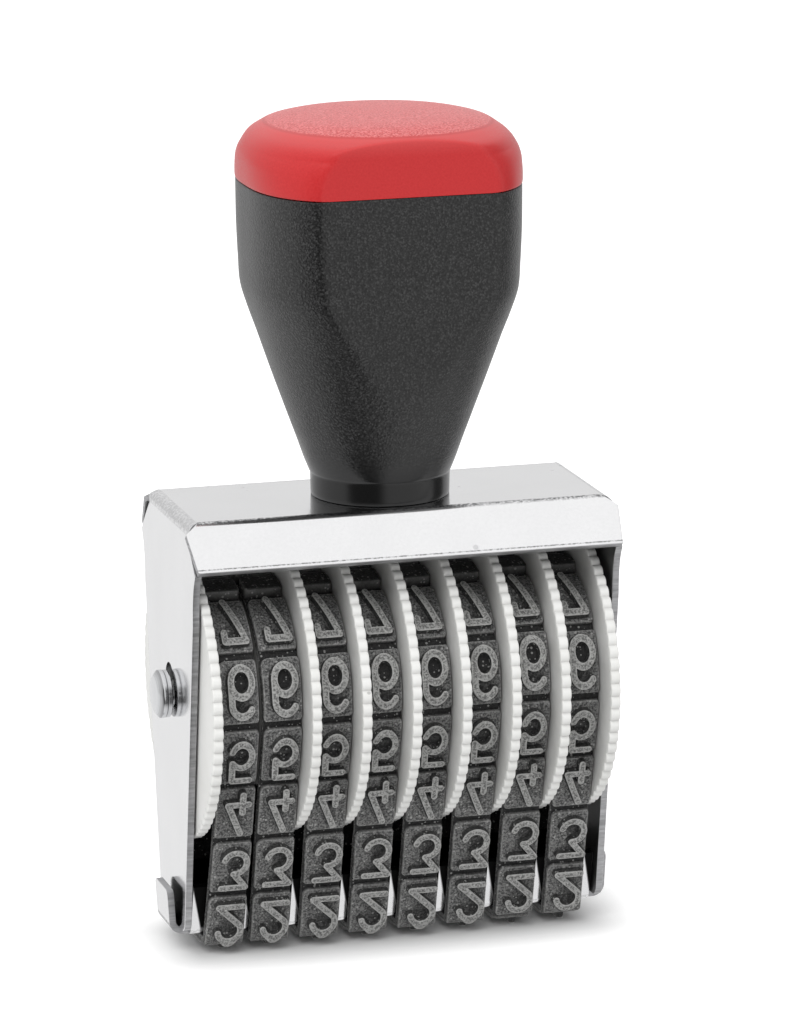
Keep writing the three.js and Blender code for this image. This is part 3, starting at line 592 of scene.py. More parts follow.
DISC_RADIUS = 21.7
DISC_HALF = 0.7
DISC_EDGE = 0.22
DRUM_RADIUS = 14.45
DRUM_END = -6.6
BORE = 2.4
BORE_MOUTH = 2.75
TEETH = 70
TOOTH_DEPTH = 0.45
DISC_PLACES = [-30.45, -15.675, -8.075, -0.475, 7.125, 14.725, 22.325, 29.925]


def wheel_shell(place, facing):
    """A wheel's outline turned about the axle.

    The outline is a closed ring of (x, r, share) points. At angle t the radius
    is r - share * depth * (1 - |cos(teeth * t / 2)|)^1.25, so between two teeth
    the rim drops into a narrow joint, and each tooth's top is almost flat. The
    side towards the drum is darkened as painted shade, most near the drum, where the band beside it
    shades it.
    """
    soft = np.radians([0, 22.5, 45, 67.5, 90])
    in_by, up_by = DISC_EDGE * (1 - np.cos(soft)), DISC_EDGE * (np.sin(soft) - 1)
    right = [(DISC_HALF - a, DISC_RADIUS + b, 1) for a, b in zip(in_by, up_by)]
    flank = [(DISC_HALF, 19.2, 0), (DISC_HALF, 20.4, 0), (DISC_HALF, 21.0, 0.9), *right]
    drum = np.array([(-0.06, 0.2), (-0.25, 0.03), (-0.6, 0)]) + (-DISC_HALF, DRUM_RADIUS)
    outline = np.array([
        (DISC_HALF, BORE_MOUTH, 0), (DISC_HALF, 6.0, 0), *flank,
        *((-x, r, share) for x, r, share in flank[::-1]),
        (-DISC_HALF, DRUM_RADIUS + 0.5, 0), *((x, r, 0) for x, r in drum),
        (DRUM_END + 0.4, DRUM_RADIUS, 0), (DRUM_END + 0.1, DRUM_RADIUS - 0.03, 0),
        (DRUM_END, DRUM_RADIUS - 0.2, 0),
        (DRUM_END, BORE_MOUTH, 0), (DRUM_END + 0.3, BORE, 0), (DISC_HALF - 0.3, BORE, 0)])
    x, r, share = (outline[:, k:k + 1] for k in range(3))
    angle = np.linspace(0, 2 * math.pi, TEETH * 14, endpoint=False)
    joint = (1 - np.abs(np.cos(TEETH * angle / 2))) ** 1.25
    radius = r - share * TOOTH_DEPTH * joint
    grid = np.stack([np.broadcast_to(place + facing * x, radius.shape),
                     radius * np.sin(angle), AXLE_HEIGHT + radius * np.cos(angle)], axis=-1)
    # Painted shade on the drum's side of the disc, darkest at the drum.
    stain = np.where(x <= -DISC_HALF, np.interp(r, [14.9, 20.4, 21.6], [1, 0.3, 0]), 0)
    return closed_shell(grid.transpose(1, 0, 2), wrap_rows=True, stain=stain.T,
                        joint=(share * joint**2).T)


def moulded_nylon():
    """White nylon: a milky cloud, a fine skin, painted shade on the drum's side and in the joints
    between the teeth.
    """
    material, tree, place = new_material("white_nylon", {"IOR": 1.5})
    cloud = noise(tree, place, 160.0, 3.0)
    skin = grain_at(tree, place, 2600.0)
    specks = specks_at(tree, place, 380.0, 0.06, 0.14)
    stain, joint = marks_of(tree, "stain", "joint")
    white = blend(tree, spread(tree, cloud, 0.3, 0.7), paint(240, 240, 238), paint(233, 233, 230))
    white = blend(tree, times(tree, specks, 0.45), white, paint(120, 118, 114))
    # Painted shade: the drum's side is darkened towards grey.
    painted_drum_side_shade = times(tree, stain, spread(tree, cloud, 0.3, 0.7, 0.45, 0.7))
    white = blend(tree, painted_drum_side_shade, white, paint(96, 96, 95))
    # Painted shade: the joints between the teeth are greyed, where the narrow grooves fall into
    # shade.
    white = blend(tree, times(tree, joint, 0.25), white, paint(150, 149, 147))
    finish_shader(tree, white, spread(tree, skin, 0.3, 0.7, 0.36, 0.5), skin, 0.00003, 0.25)
    return material


white_nylon = moulded_nylon()
for n, place in enumerate(DISC_PLACES, start=1):
    wheel = make_piece(f"nylon_wheel_{n}", [wheel_shell(place, -1 if n == 1 else 1)])
    wheel.data.materials.append(white_nylon)
    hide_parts(f"thumb_wheel_{n}")
    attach(wheel, f"wheel_{n}")


# THE NUMBER BANDS
# Eight endless bands moulded in grey rubber: a thin belt, low blocks, and on ten
# of the blocks a raised, mirrored digit. Each runs round a drum and the bridge.

BELT_RISE = 0.8
BLOCK_RISE = 0.7
BLANK_RISE = 1.6
DIGIT_RISE = 1.1
BAND_RISE = BELT_RISE + BLOCK_RISE + DIGIT_RISE
NOSE_SPREAD = 4.73
NOSE_RADIUS = 0.5
PITCH_RISE = 0.75
RUN_RADIUS = 14.79
NOSE_HEIGHT = BAND_RISE + NOSE_RADIUS
NOSE_DROP = AXLE_HEIGHT - NOSE_HEIGHT
SPAN = math.hypot(NOSE_SPREAD, NOSE_DROP)
LEAN = math.asin((RUN_RADIUS - NOSE_RADIUS) / SPAN) - math.atan2(NOSE_SPREAD, NOSE_DROP)
NOSE_SWEEP = math.pi / 2 - LEAN
RUN_START = NOSE_SPREAD + NOSE_SWEEP * (NOSE_RADIUS + PITCH_RISE)
RUN_END = RUN_START + math.sqrt(SPAN**2 - (RUN_RADIUS - NOSE_RADIUS) ** 2)
DRUM_STRETCH = 1.09
DRUM_TURN = (RUN_RADIUS + PITCH_RISE) / DRUM_STRETCH
HALF_LOOP = RUN_END + (math.pi / 2 + LEAN) * DRUM_TURN


def on_loop(s, rise):
    """(Y, Z) at distance s along a band and `rise` above its inner face; s = 0 is the print face.

    Up to NOSE_SPREAD the loop is flat, then it turns round the nose by
    (s - spread) / (nose radius + pitch rise), runs straight at the lean, and
    from RUN_END turns round the drum by (s - RUN_END) / DRUM_TURN, because the
    belt is stretched there. The back half mirrors the front half.
    """
    rest = np.mod(s, 2 * HALF_LOOP)
    back = rest > HALF_LOOP
    rest = np.where(back, 2 * HALF_LOOP - rest, rest)
    on_drum, on_nose = rest > RUN_END, rest > NOSE_SPREAD
    turned = np.maximum(rest - NOSE_SPREAD, 0) / (NOSE_RADIUS + PITCH_RISE)
    turned = np.minimum(turned, NOSE_SWEEP)
    turned = np.where(on_drum, NOSE_SWEEP + (rest - RUN_END) / DRUM_TURN, turned)
    out_y, out_z = -np.sin(turned), -np.cos(turned)
    along = np.maximum(rest - RUN_START, 0)
    y = np.where(on_nose, -NOSE_SPREAD + NOSE_RADIUS * out_y - along * math.sin(LEAN), -rest)
    z = np.where(on_nose, NOSE_HEIGHT + NOSE_RADIUS * out_z + along * math.cos(LEAN), BAND_RISE)
    y = np.where(on_drum, RUN_RADIUS * out_y, y) + rise * out_y
    z = np.where(on_drum, AXLE_HEIGHT + RUN_RADIUS * out_z, z) + rise * out_z
    return np.where(back, -y, y), z


def arc(u, v, half_u, half_v, start=0, stop=360, steps=22):
    """Points of an oval's arc between two angles in degrees."""
    t = np.radians(np.linspace(start, stop, steps + 1))
    return np.stack([u + half_u * np.cos(t), v + half_v * np.sin(t)], axis=1)


def digit_lines():
    """The digits' centre lines, 0 to 9, in a box from -0.5 to 0.5 across and 0 to 1 up."""
    stem = np.vstack([arc(0, 0.74, 0.5, 0.26, 30, 180, 20), [(-0.5, 0.3)]])
    six = [arc(0, 0.3, 0.5, 0.3, steps=40), stem]
    return [
        [arc(0, 0.5, 0.5, 0.5, steps=48)],
        [[(-0.22, 0.80), (0.1, 1.0), (0.1, 0.0)]],
        [[*arc(0.03, 0.7, 0.55, 0.3, 170, -30), (-0.55, 0), (0.6, 0)]],
        [[(-0.55, 1), (0.6, 1), (0.0, 0.6), *arc(0.05, 0.3, 0.55, 0.3, 75, -160)]],
        [[(0.14, 1.09), (-0.5, 0.27), (0.5, 0.27)], [(0.2, 0.5), (0.2, 0)]],
        [[(0.42, 1), (-0.42, 1), (-0.44, 0.5), *arc(0, 0.32, 0.5, 0.32, 125, -155)]],
        six,
        [[(-0.5, 0.8), (-0.5, 1), (0.5, 1), (-0.2, 0)]],
        [arc(0, 0.27, 0.5, 0.27, steps=40), arc(0, 0.77, 0.43, 0.23, steps=36)],
        [line * (-1, -1) + (0, 1) for line in six],
    ]


DIGIT_SIZE = (3.15, 5.95)
DIGIT_ASIDE = 0.15
DIGIT_SHIFTS = [0, 0, 0, 0, -0.6, 0.2, 0, 0, 0, 0]
DIGIT_LINES = [[np.asarray(line) * DIGIT_SIZE + (DIGIT_ASIDE, shift - DIGIT_SIZE[1] / 2)
                for line in lines] for lines, shift in zip(digit_lines(), DIGIT_SHIFTS)]
STROKE_HALF = 0.47
DIGIT_PITCH = 9.35
BLOCK_GAP = 1.1
BLOCK_WALL = 0.1
DIGIT_WALL = 0.15
DIGITS_BEHIND = 3
BLANKS = 8
BLANK_PITCH = (2 * HALF_LOOP - 10 * DIGIT_PITCH) / BLANKS
BELT_SIDES = (-3.0, 2.82)
BELT_EDGE = 0.06
BLOCK_SIDES = (-2.9, 2.8)
CELL = 0.125


def nearest_on_lines(points, lines):
    """For each point, the nearest point on the centre lines, and how far away it is.

    On each segment it is the foot of the perpendicular, kept within it.
    """
    starts = np.concatenate([line[:-1] for line in lines])
    steps = np.concatenate([np.diff(line, axis=0) for line in lines])
    offset = points[:, None, :] - starts
    share = np.clip((offset * steps).sum(-1) / (steps**2).sum(-1), 0, 1)
    feet = starts + share[..., None] * steps
    apart = np.linalg.norm(points[:, None, :] - feet, axis=-1)
    return feet[np.arange(len(points)), apart.argmin(axis=1)], apart.min(axis=1)


def snap(points, feet, distance, edge, slope):
    """Moves the points within one cell of an outline on to it, so that the wall there is clean.

    A point just inside goes to the distance `edge`, and one just outside to
    edge + slope, the wall's foot. Gives the new points and their distances.
    """
    inside = (distance < edge) & (distance >= edge - CELL)
    outside = (distance >= edge) & (distance < edge + max(CELL, slope))
    goal = np.where(inside, edge, np.where(outside, edge + slope, distance))
    away = (points - feet) / np.maximum(distance, 1e-6)[:, None]
    return points + away * (goal - distance)[:, None], goal


def shut_in(points, lines):
    """The share of eight directions in which a stroke lies within 2.4 of each point."""
    shut = np.zeros(len(points))
    reaches = np.arange(0.4, 2.8, 0.4)
    for turn in np.arange(8) * math.pi / 4:
        steps = reaches[:, None, None] * (math.cos(turn), math.sin(turn))
        distance = nearest_on_lines((points + steps).reshape(-1, 2), lines)[1]
        shut += (distance < STROKE_HALF).reshape(len(reaches), -1).any(axis=0) / 8
    return shut


def block_field(digit, across, along, half_length):
    """Height over the belt of one block and its digit, on a flat grid of points.

    Inside the block's outline, a rectangle with round corners, the height is
    the block's. Within half a stroke of the digit's centre line it is the
    digit's as well. One corner of the block, up and to the left, is rounder
    than the rest. Gives the moved points, the height and the marks.
    """
    x, s = np.meshgrid(across, along)
    points = np.stack([x.ravel(), s.ravel()], axis=1)
    corner = np.where((points[:, 0] < 0) & (points[:, 1] > 0), 1.1, 0.4)
    low = np.stack([BLOCK_SIDES[0] + corner, corner - half_length], axis=1)
    high = np.stack([BLOCK_SIDES[1] - corner, half_length - corner], axis=1)
    core = np.clip(points, low, high)
    from_core = np.linalg.norm(points - core, axis=1)
    points, from_core = snap(points, core, from_core, corner, BLOCK_WALL)
    on_block = from_core <= corner + 1e-9
    top, block = (BLANK_RISE, 0.2) if digit is None else (BLOCK_RISE, 1.0)
    height = np.where(from_core > corner - 1e-3, top - 0.04, top) * on_block
    # The block's outline gets a mark for a painted highlight along its rounded edge.
    rim = 0.35 * np.exp(-((corner - from_core) / 0.14) ** 2) * on_block
    block = on_block * block
    face, hollow = np.zeros((2, len(points)))
    if digit is not None:
        flat = [line * (1, -1) for line in DIGIT_LINES[digit]]
        feet, distance = nearest_on_lines(points, flat)
        points, distance = snap(points, feet, distance, STROKE_HALF, DIGIT_WALL)
        face = (distance <= STROKE_HALF + 1e-9).astype(float)
        worn = np.where(distance > STROKE_HALF - 1e-3, 0.05, 0)
        height = np.where(face, BLOCK_RISE + DIGIT_RISE - worn, height)
        # The digit's outline gets a mark for a painted highlight along its rounded edge.
        rim = np.where(face, np.exp(-((STROKE_HALF - distance) / 0.15) ** 2), rim)
        # Points on the block inside a digit's closed loops get a mark for painted shade.
        hollow = np.where(face, 0, np.clip(2 * shut_in(points, flat) - 1, 0, 1))
    return [mark.reshape(x.shape) for mark in (*points.T, height, rim, face, hollow, block)]


def flat_band():
    """A band laid out flat: for a grid of points across and along it, places, heights and marks."""
    rows = [(n * DIGIT_PITCH, (DIGIT_PITCH - BLOCK_GAP) / 2, (n + 1) % 10)
            for n in range(-DIGITS_BEHIND, 10 - DIGITS_BEHIND)]
    first = (9.5 - DIGITS_BEHIND) * DIGIT_PITCH
    rows += [(first + (k + 0.5) * BLANK_PITCH, (BLANK_PITCH - BLOCK_GAP) / 2, None)
             for k in range(BLANKS)]
    across = np.linspace(BELT_SIDES[0] + BELT_EDGE, BELT_SIDES[1] - BELT_EDGE, 47)
    parts = []
    for middle, half_length, digit in rows:
        reach = half_length + BLOCK_GAP / 2
        count = 2 * math.ceil(reach / (CELL if digit is not None else 0.3))
        along = np.linspace(-reach, reach, count, endpoint=False)
        if digit is None:
            ends = np.array([-half_length - 0.06, -half_length + 0.02])
            along = np.unique(np.round(np.concatenate([along, ends, -ends]), 5))
        x, s, *rest = block_field(digit, across, along, half_length)
        parts.append(np.stack([x, s + middle, *rest]))
    return np.concatenate(parts, axis=1)


FLAT_BAND = flat_band()


def with_sides(values, sides):
    """Adds six columns to a flat band's values, for its edges and its inner face."""
    return np.concatenate([values, np.broadcast_to(sides, (len(values), 6))], axis=1)


def band_shell(middle, advance, slip):
    """A flat band bent round its loop, moved on by `advance`, with edges and a smooth inner face.

    Below the discs a band lies a little to one side, by slip * (1 - z / 17).
    """
    x, s, height, rim, face, hollow, block = FLAT_BAND
    left, right = BELT_SIDES
    top = BELT_RISE - BELT_EDGE
    x = with_sides(x, [right, right, right - BELT_EDGE, left + BELT_EDGE, left, left])
    rise = with_sides(BELT_RISE + height, [top, BELT_EDGE, 0, 0, BELT_EDGE, top])
    y, z = on_loop(with_sides(s, s.mean(axis=1, keepdims=True)) + advance, rise)
    aside = slip * np.clip(1 - z / 17, 0, 1)
    return closed_shell(
        np.stack([middle + x + aside, y, z], axis=-1), wrap_rows=True, rim=with_sides(rim, 0),
        face=with_sides(face, 0), hollow=with_sides(hollow, 0),
        block=with_sides(block, [0.5, 0.5, 0, 0, 0.9, 0.9]))


def dusty_rubber():
    """Grey rubber: dark belt, painted shade on the digits' walls and in their closed loops, paler
    blocks, pale worn faces, painted highlights on the outlines, and dust.
    """
    material, tree, place = new_material("grey_rubber", {"IOR": 1.5})
    rim, face, hollow, block = marks_of(tree, "rim", "face", "hollow", "block")
    grain = grain_at(tree, place, 3300.0)
    cloud = noise(tree, place, 500.0, 4.0)
    dust = specks_at(tree, place, 2500.0, 0.25, 0.4)
    speckle = spread(tree, grain, 0.42, 0.58)
    printing = spread(tree, face, 0.90, 0.99)
    # Painted shade: the digits' walls and the closed loops inside them are darkened nearly to
    # black.
    wall = times(tree, spread(tree, face, 0.0, 0.15), 0.75)
    deep = sums(tree, "MAXIMUM", wall, times(tree, hollow, 0.9))
    pad = blend(tree, speckle, paint(66, 66, 66), paint(130, 130, 129))
    pad = blend(tree, deep, pad, paint(20, 20, 20))
    belt = blend(tree, speckle, paint(24, 24, 24), paint(50, 50, 50))
    worn = blend(tree, speckle, paint(96, 96, 95), paint(172, 172, 170))
    worn = blend(tree, spread(tree, cloud, 0.35, 0.65, 0.0, 0.25), worn, paint(90, 90, 90))
    base = blend(tree, printing, blend(tree, block, belt, pad), worn)
    # Painted highlight: pale lines along the outlines of blocks and digits, where their rounded
    # edges catch the light.
    off_digit = sums(tree, "SUBTRACT", 1.0, spread(tree, face, 0.0, 0.1))
    outline = times(tree, rim, sums(tree, "MAXIMUM", printing, off_digit))
    outline = times(tree, outline, spread(tree, cloud, 0.3, 0.6, 0.45, 0.9))
    base = blend(tree, outline, base, paint(190, 190, 188))
    base = blend(tree, times(tree, dust, 0.5), base, paint(196, 196, 194))
    finish_shader(tree, base, spread(tree, grain, 0.3, 0.7, 0.68, 0.9), grain, 0.00015, 0.8)
    return material


grey_rubber = dusty_rubber()
BAND_PLACES = [-25.9, -19.375, -11.775, -4.175, 3.425, 11.025, 18.625, 26.225]
BAND_ADVANCES = [0, 0, 0, 0, 0, 0.0935, 0.8415, 0.4675]
BAND_SLIPS = [-0.4, 0.1, 0.12, 0.15, 0.15, 0.2, 0.2, 0.3]
for n, laid in enumerate(zip(BAND_PLACES, BAND_ADVANCES, BAND_SLIPS), start=1):
    band = make_piece(f"rubber_band_{n}", [band_shell(*laid)])
    band.data.materials.append(grey_rubber)
    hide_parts(f"number_band_{n}")
    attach(band, "stamp")


# THE HANDLE
# A grip moulded in black plastic with a fine leather grain. It has flat facets
# front and back, narrows to a smooth neck ring, and stands on the top plate.

HANDLE_FOOT = 67.36
HANDLE_TOP = 114.42
GRIP_FOOT = 71.0
FACET_DEPTH = 17.3
FACET_KNEE = 97.0


def through(x, xs, ys):
    """A smooth curve through points: between two of them a cubic.

    Its slopes at their places are those of the chords to either side.
    """
    xs, ys = np.asarray(xs, float), np.asarray(ys, float)
    slopes = np.gradient(ys, xs)
    k = np.clip(np.searchsorted(xs, x) - 1, 0, len(xs) - 2)
    width = xs[k + 1] - xs[k]
    t = np.clip((x - xs[k]) / width, 0, 1)
    return (ys[k] * (1 + 2 * t) * (1 - t) ** 2 + slopes[k] * width * t * (1 - t) ** 2
            + ys[k + 1] * t**2 * (3 - 2 * t) + slopes[k + 1] * width * t**2 * (t - 1))


def facet_reach(z):
    """Depth of the facet at height z: upright above the knee and 1 in 6 below, softly joined."""
    slope = (z - FACET_KNEE) / 6
    return FACET_DEPTH - 0.45 * np.logaddexp(0, -slope / 0.45)


def faceted_grid(z, half, deep, squareness, facet, softness, around=288):
    """Upright body from its sections.

    At angle t a section's point is (a |cos t|^(2/n), b |sin t|^(2/n)), with its
    signs, where a and b are the half width and depth and n the squareness. The
    depth is then held behind the facet f by the soft minimum
    f - k ln(1 + e^((f - y) / k)).
    """
    angle = (np.arange(around) + 0.5) * 2 * math.pi / around
    z, half, deep, squareness, facet = (row[:, None] for row in (z, half, deep, squareness, facet))
    x = half * np.sign(np.cos(angle)) * np.abs(np.cos(angle)) ** (2 / squareness)
    y = deep * np.abs(np.sin(angle)) ** (2 / squareness)
    held = facet - softness * np.logaddexp(0, (facet - y) / softness)
    return np.stack([x, np.sign(np.sin(angle)) * held, np.broadcast_to(z, x.shape)], axis=-1)


def handle_shell():
    """The grip: its half width runs through the heights and widths below, on a round neck ring."""
    heights = [GRIP_FOOT, 72.6, 75.9, 80.8, 87.8, 92.0, 95.5, 98.6, 103.0, 108.0, HANDLE_TOP]
    widths = [10.5, 11.15, 12.3, 14.05, 16.45, 17.8, 18.95, 19.8, 20.05, 20.2, 20.25]
    squares = [2.0, 2.0, 2.03, 2.08, 2.2, 2.3, 2.42, 2.52, 2.6, 2.65, 2.65]
    neck_z = [HANDLE_FOOT, HANDLE_FOOT + 0.06, HANDLE_FOOT + 0.2, 68.2, 69.4, 70.5, 70.8, 70.93]
    neck_w = [10.05, 10.22, 10.3, 10.32, 10.35, 10.38, 10.4, 10.45]
    upper = np.linspace(FACET_KNEE, HANDLE_TOP - 0.25, 50)[1:]
    z = np.concatenate([np.linspace(GRIP_FOOT, FACET_KNEE, 96), upper])
    body = through(z, heights, widths)
    z = np.concatenate([neck_z, z, HANDLE_TOP - np.array([0.12, 0.04, 0.0])])
    half = np.concatenate([neck_w, body, body[-1] - np.array([0.03, 0.09, 0.22])])
    squareness = np.interp(z, heights, squares)
    grain = np.clip((z - 71.2) / 7.0, 0, 1) ** 0.8
    grid = faceted_grid(z, half, half, squareness, facet_reach(z), 0.16)
    return closed_shell(grid, grain=grain[:, None])


def black_moulding():
    """Black plastic with a fine leather grain: bumps whose tops are painted paler as lit, with
    painted shade in the dark lines between.
    """
    material, tree, place = new_material("black_plastic", {"IOR": 1.58})
    grain = marks_of(tree, "grain")[0]
    cells = {"Vector": place, "Scale": 2900.0, "Smoothness": 0.5}
    pebbles = put(tree, "ShaderNodeTexVoronoi", cells, feature="SMOOTH_F1").outputs["Distance"]
    fine = grain_at(tree, place, 3400.0)
    rise = times(tree, sums(tree, "MULTIPLY_ADD", fine, 1.2, times(tree, pebbles, -1.0)), grain)
    # Painted light and shade on the grain: higher points paler, the pebbles' borders darker as
    # shade.
    tone = blend(tree, spread(tree, fine, 0.40, 0.60), paint(2, 2, 2), paint(56, 56, 56))
    tone = blend(tree, spread(tree, pebbles, 0.35, 0.6, 0.0, 0.7), tone, paint(4, 4, 4))
    colour = blend(tree, grain, paint(9, 9, 9), tone)
    finish_shader(tree, colour, spread(tree, grain, 0.0, 1.0, 0.2, 0.36), rise, 0.00007, 0.9)
    return material


handle_piece = make_piece("handle_grip", [handle_shell()], sharp_degrees=50)
handle_piece.data.materials.append(black_moulding())
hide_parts("handle_body")
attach(handle_piece, "stamp")


# THE CAP
# A cap moulded in red plastic, pressed on to the grip. It carries the grip's
# facets up to a rounded shoulder and has a low, grained dome for the palm.

CAP_FOOT = 114.5
CAP_TOP = 124.55


def cap_shell():
    """The cap: an almost upright wall, a round shoulder and a flat dome.

    Half width and half depth are curves against height. The depth turns in
    later than the width, so the facets run on almost to the dome. The
    squareness falls from 2.65 at the foot to 2.15.
    """
    up = [0, 0.08, 0.25, 0.4, 0.5, 0.6, 0.7, 0.8, 0.855, 0.868, 0.905, 0.94, 0.967, 0.987, 1.0]
    dome = [15.0, 13.4, 11.0, 7.0, 0.0]
    out = [20.3, 20.4, 20.5, 20.5, 20.25, 19.7, 18.85, 17.55, 16.7, 16.4, 15.1, 13.5, *dome[2:]]
    back = [20.3, 20.4, 20.5, 20.5, 20.45, 20.3, 19.9, 17.9, 16.6, 16.3, *dome]
    chord = np.concatenate([[0], np.cumsum(np.hypot(np.diff(up) * 10, np.diff(out)))])
    turn = np.linspace(0, chord[-1], 150)[2:]
    share_up, half, deep = (through(turn, chord, values) for values in (up, out, back))
    z = CAP_FOOT + (CAP_TOP - CAP_FOOT) * np.minimum(share_up, 1)
    z = np.concatenate([CAP_FOOT + np.array([0, 0.05, 0.14]), z])
    half, deep = (np.concatenate([[20.05, 20.22, 20.29], np.maximum(values, 0.04)])
                  for values in (half, deep))
    share_up = (z - CAP_FOOT) / (CAP_TOP - CAP_FOOT)
    squareness = np.interp(share_up, [0, 0.25, 0.4, 0.55], [2.65, 2.45, 2.3, 2.15])
    grid = faceted_grid(z, half, deep, squareness, np.full(len(z), FACET_DEPTH), 0.2)
    width = half[:, None]
    # The last mark, a line round the dome's edge, carries painted shade.
    return closed_shell(grid, dome=np.clip((16.55 - width) / 0.25, 0, 1),
                        shoulder=np.clip((19.8 - width) / 3.0, 0, 1) * (width > 16.5),
                        seam=np.exp(-((width - 16.6) / 0.22) ** 2))


def red_moulding():
    """Red plastic: a fine skin, a painted highlight on the shoulder, and on the dome deeper red
    under pale tops painted as light, with a dark line of painted shade at its edge.
    """
    material, tree, place = new_material("red_plastic", {"IOR": 1.5})
    dome, shoulder, seam = marks_of(tree, "dome", "shoulder", "seam")
    fine = grain_at(tree, place, 3300.0)
    tone = blend(tree, spread(tree, fine, 0.35, 0.65), paint(192, 31, 34), paint(200, 40, 42))
    # Painted light: the dome's grain tops are paler, as its top face catches the light; the grain
    # itself is the dome's own.
    pale = blend(tree, spread(tree, fine, 0.40, 0.60), paint(192, 52, 52), paint(240, 138, 138))
    # Painted highlight: the shoulder is paler, where the light catches it.
    tone = blend(tree, times(tree, shoulder, 0.4), tone, paint(232, 104, 104))
    tone = blend(tree, times(tree, dome, 0.8), tone, pale)
    # Painted shade: a darker red line round the dome's edge.
    tone = blend(tree, times(tree, seam, 0.45), tone, paint(170, 36, 38))
    strength = spread(tree, dome, 0.0, 1.0, 0.12, 0.9)
    finish_shader(tree, tone, spread(tree, fine, 0.3, 0.7, 0.28, 0.42), fine, 0.0001, strength)
    return material


cap_piece = make_piece("handle_top", [cap_shell()], sharp_degrees=50)
cap_piece.data.materials.append(red_moulding())
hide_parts("handle_cap")
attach(cap_piece, "stamp")


# THE SCREW AND ITS WASHER
# A slotted steel screw goes up through a washer and the top plate into the
# grip's neck. Both are plain turned steel, under the top plate.

WASHER_TOP = 66.0
WASHER_FOOT = 65.2
HEAD_TOP = 64.9
MIDDLE = (0, 0, 0)


def screw_profile():
    """The screw from its head's face up: a low crown, and a shank with a small wave for threads."""
    z = np.linspace(HEAD_TOP + 0.4, 78.0, 160)
    thread = np.stack([z, 1.84 + 0.06 * np.cos(2 * math.pi * z / 0.7)], axis=1)
    head = [(62.7, 0.05), (62.72, 1.2), (62.8, 2.3), (62.98, 3.0), (63.25, 3.42), (63.6, 3.58),
            (64.0, 3.6), (64.75, 3.6), (64.86, 3.56), (HEAD_TOP, 3.45), (HEAD_TOP, 2.0)]
    return np.vstack([head, thread, [(78.5, 1.4), (78.9, 0.8), (78.9, 0.05)]])


def washer_profile():
    """The washer's closed outline."""
    upper = [(WASHER_TOP - 0.15, 5.0), (WASHER_TOP - 0.05, 4.97), (WASHER_TOP, 4.85),
             (WASHER_TOP, 2.25), (WASHER_TOP - 0.06, 2.2)]
    return upper + [(WASHER_TOP + WASHER_FOOT - z, r) for z, r in upper[::-1]]


screw_slot = [(-0.5, 61.8), (0.5, 61.8), (0.5, 63.6), (-0.5, 63.6)]
screw_piece = make_piece("slotted_screw", [turned_shell(screw_profile(), MIDDLE, 2, around=72)])
cut_out(screw_piece, make_piece("screw_slot_cutter", [bar_along_x(screw_slot, 6)]))
screw_piece.data.set_sharp_from_angle(angle=math.radians(40))
screw_steel = turned_steel("screw_steel", paint(200, 201, 203), 2, MIDDLE, 0.22)
screw_piece.data.materials.append(screw_steel)
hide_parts("handle_screw")
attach(screw_piece, "stamp")

washer_shell = turned_shell(washer_profile(), MIDDLE, 2, around=72, wrap_rows=True)
washer_piece = make_piece("flat_washer", [washer_shell])
washer_steel = turned_steel("washer_steel", paint(190, 191, 193), 2, MIDDLE, 0.28)
washer_piece.data.materials.append(washer_steel)
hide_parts("handle_washer")
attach(washer_piece, "stamp")


# THE STUDIO
# A white floor that keeps the stamp's soft shadow, a white surround with two
# dark strips, one broad soft lamp, and the photograph's camera.

STRIPS = ((-40, 22, 36), (98, 10, 18))
STRIP_DEPTH = -0.82
WHITE = (1, 1, 1, 1)


def strip_light(tree, x, y, share):
    """The light left in a direction: 1, or less in one of the dark strips.

    A strip's middle is at the first of its angles to the right of the front.
    It is full within the second angle from there and gone beyond the third.
    """
    length = length_of(tree, x, y)
    strips = []
    for turn, inner, outer in np.radians(STRIPS):
        ahead = sums(tree, "MULTIPLY_ADD", x, math.sin(turn), times(tree, y, -math.cos(turn)))
        ahead = sums(tree, "DIVIDE", ahead, length)
        strips.append(spread(tree, ahead, math.cos(outer), math.cos(inner)))
    dark = times(tree, sums(tree, "MAXIMUM", *strips), share)
    return sums(tree, "MULTIPLY_ADD", dark, STRIP_DEPTH, 1.0)


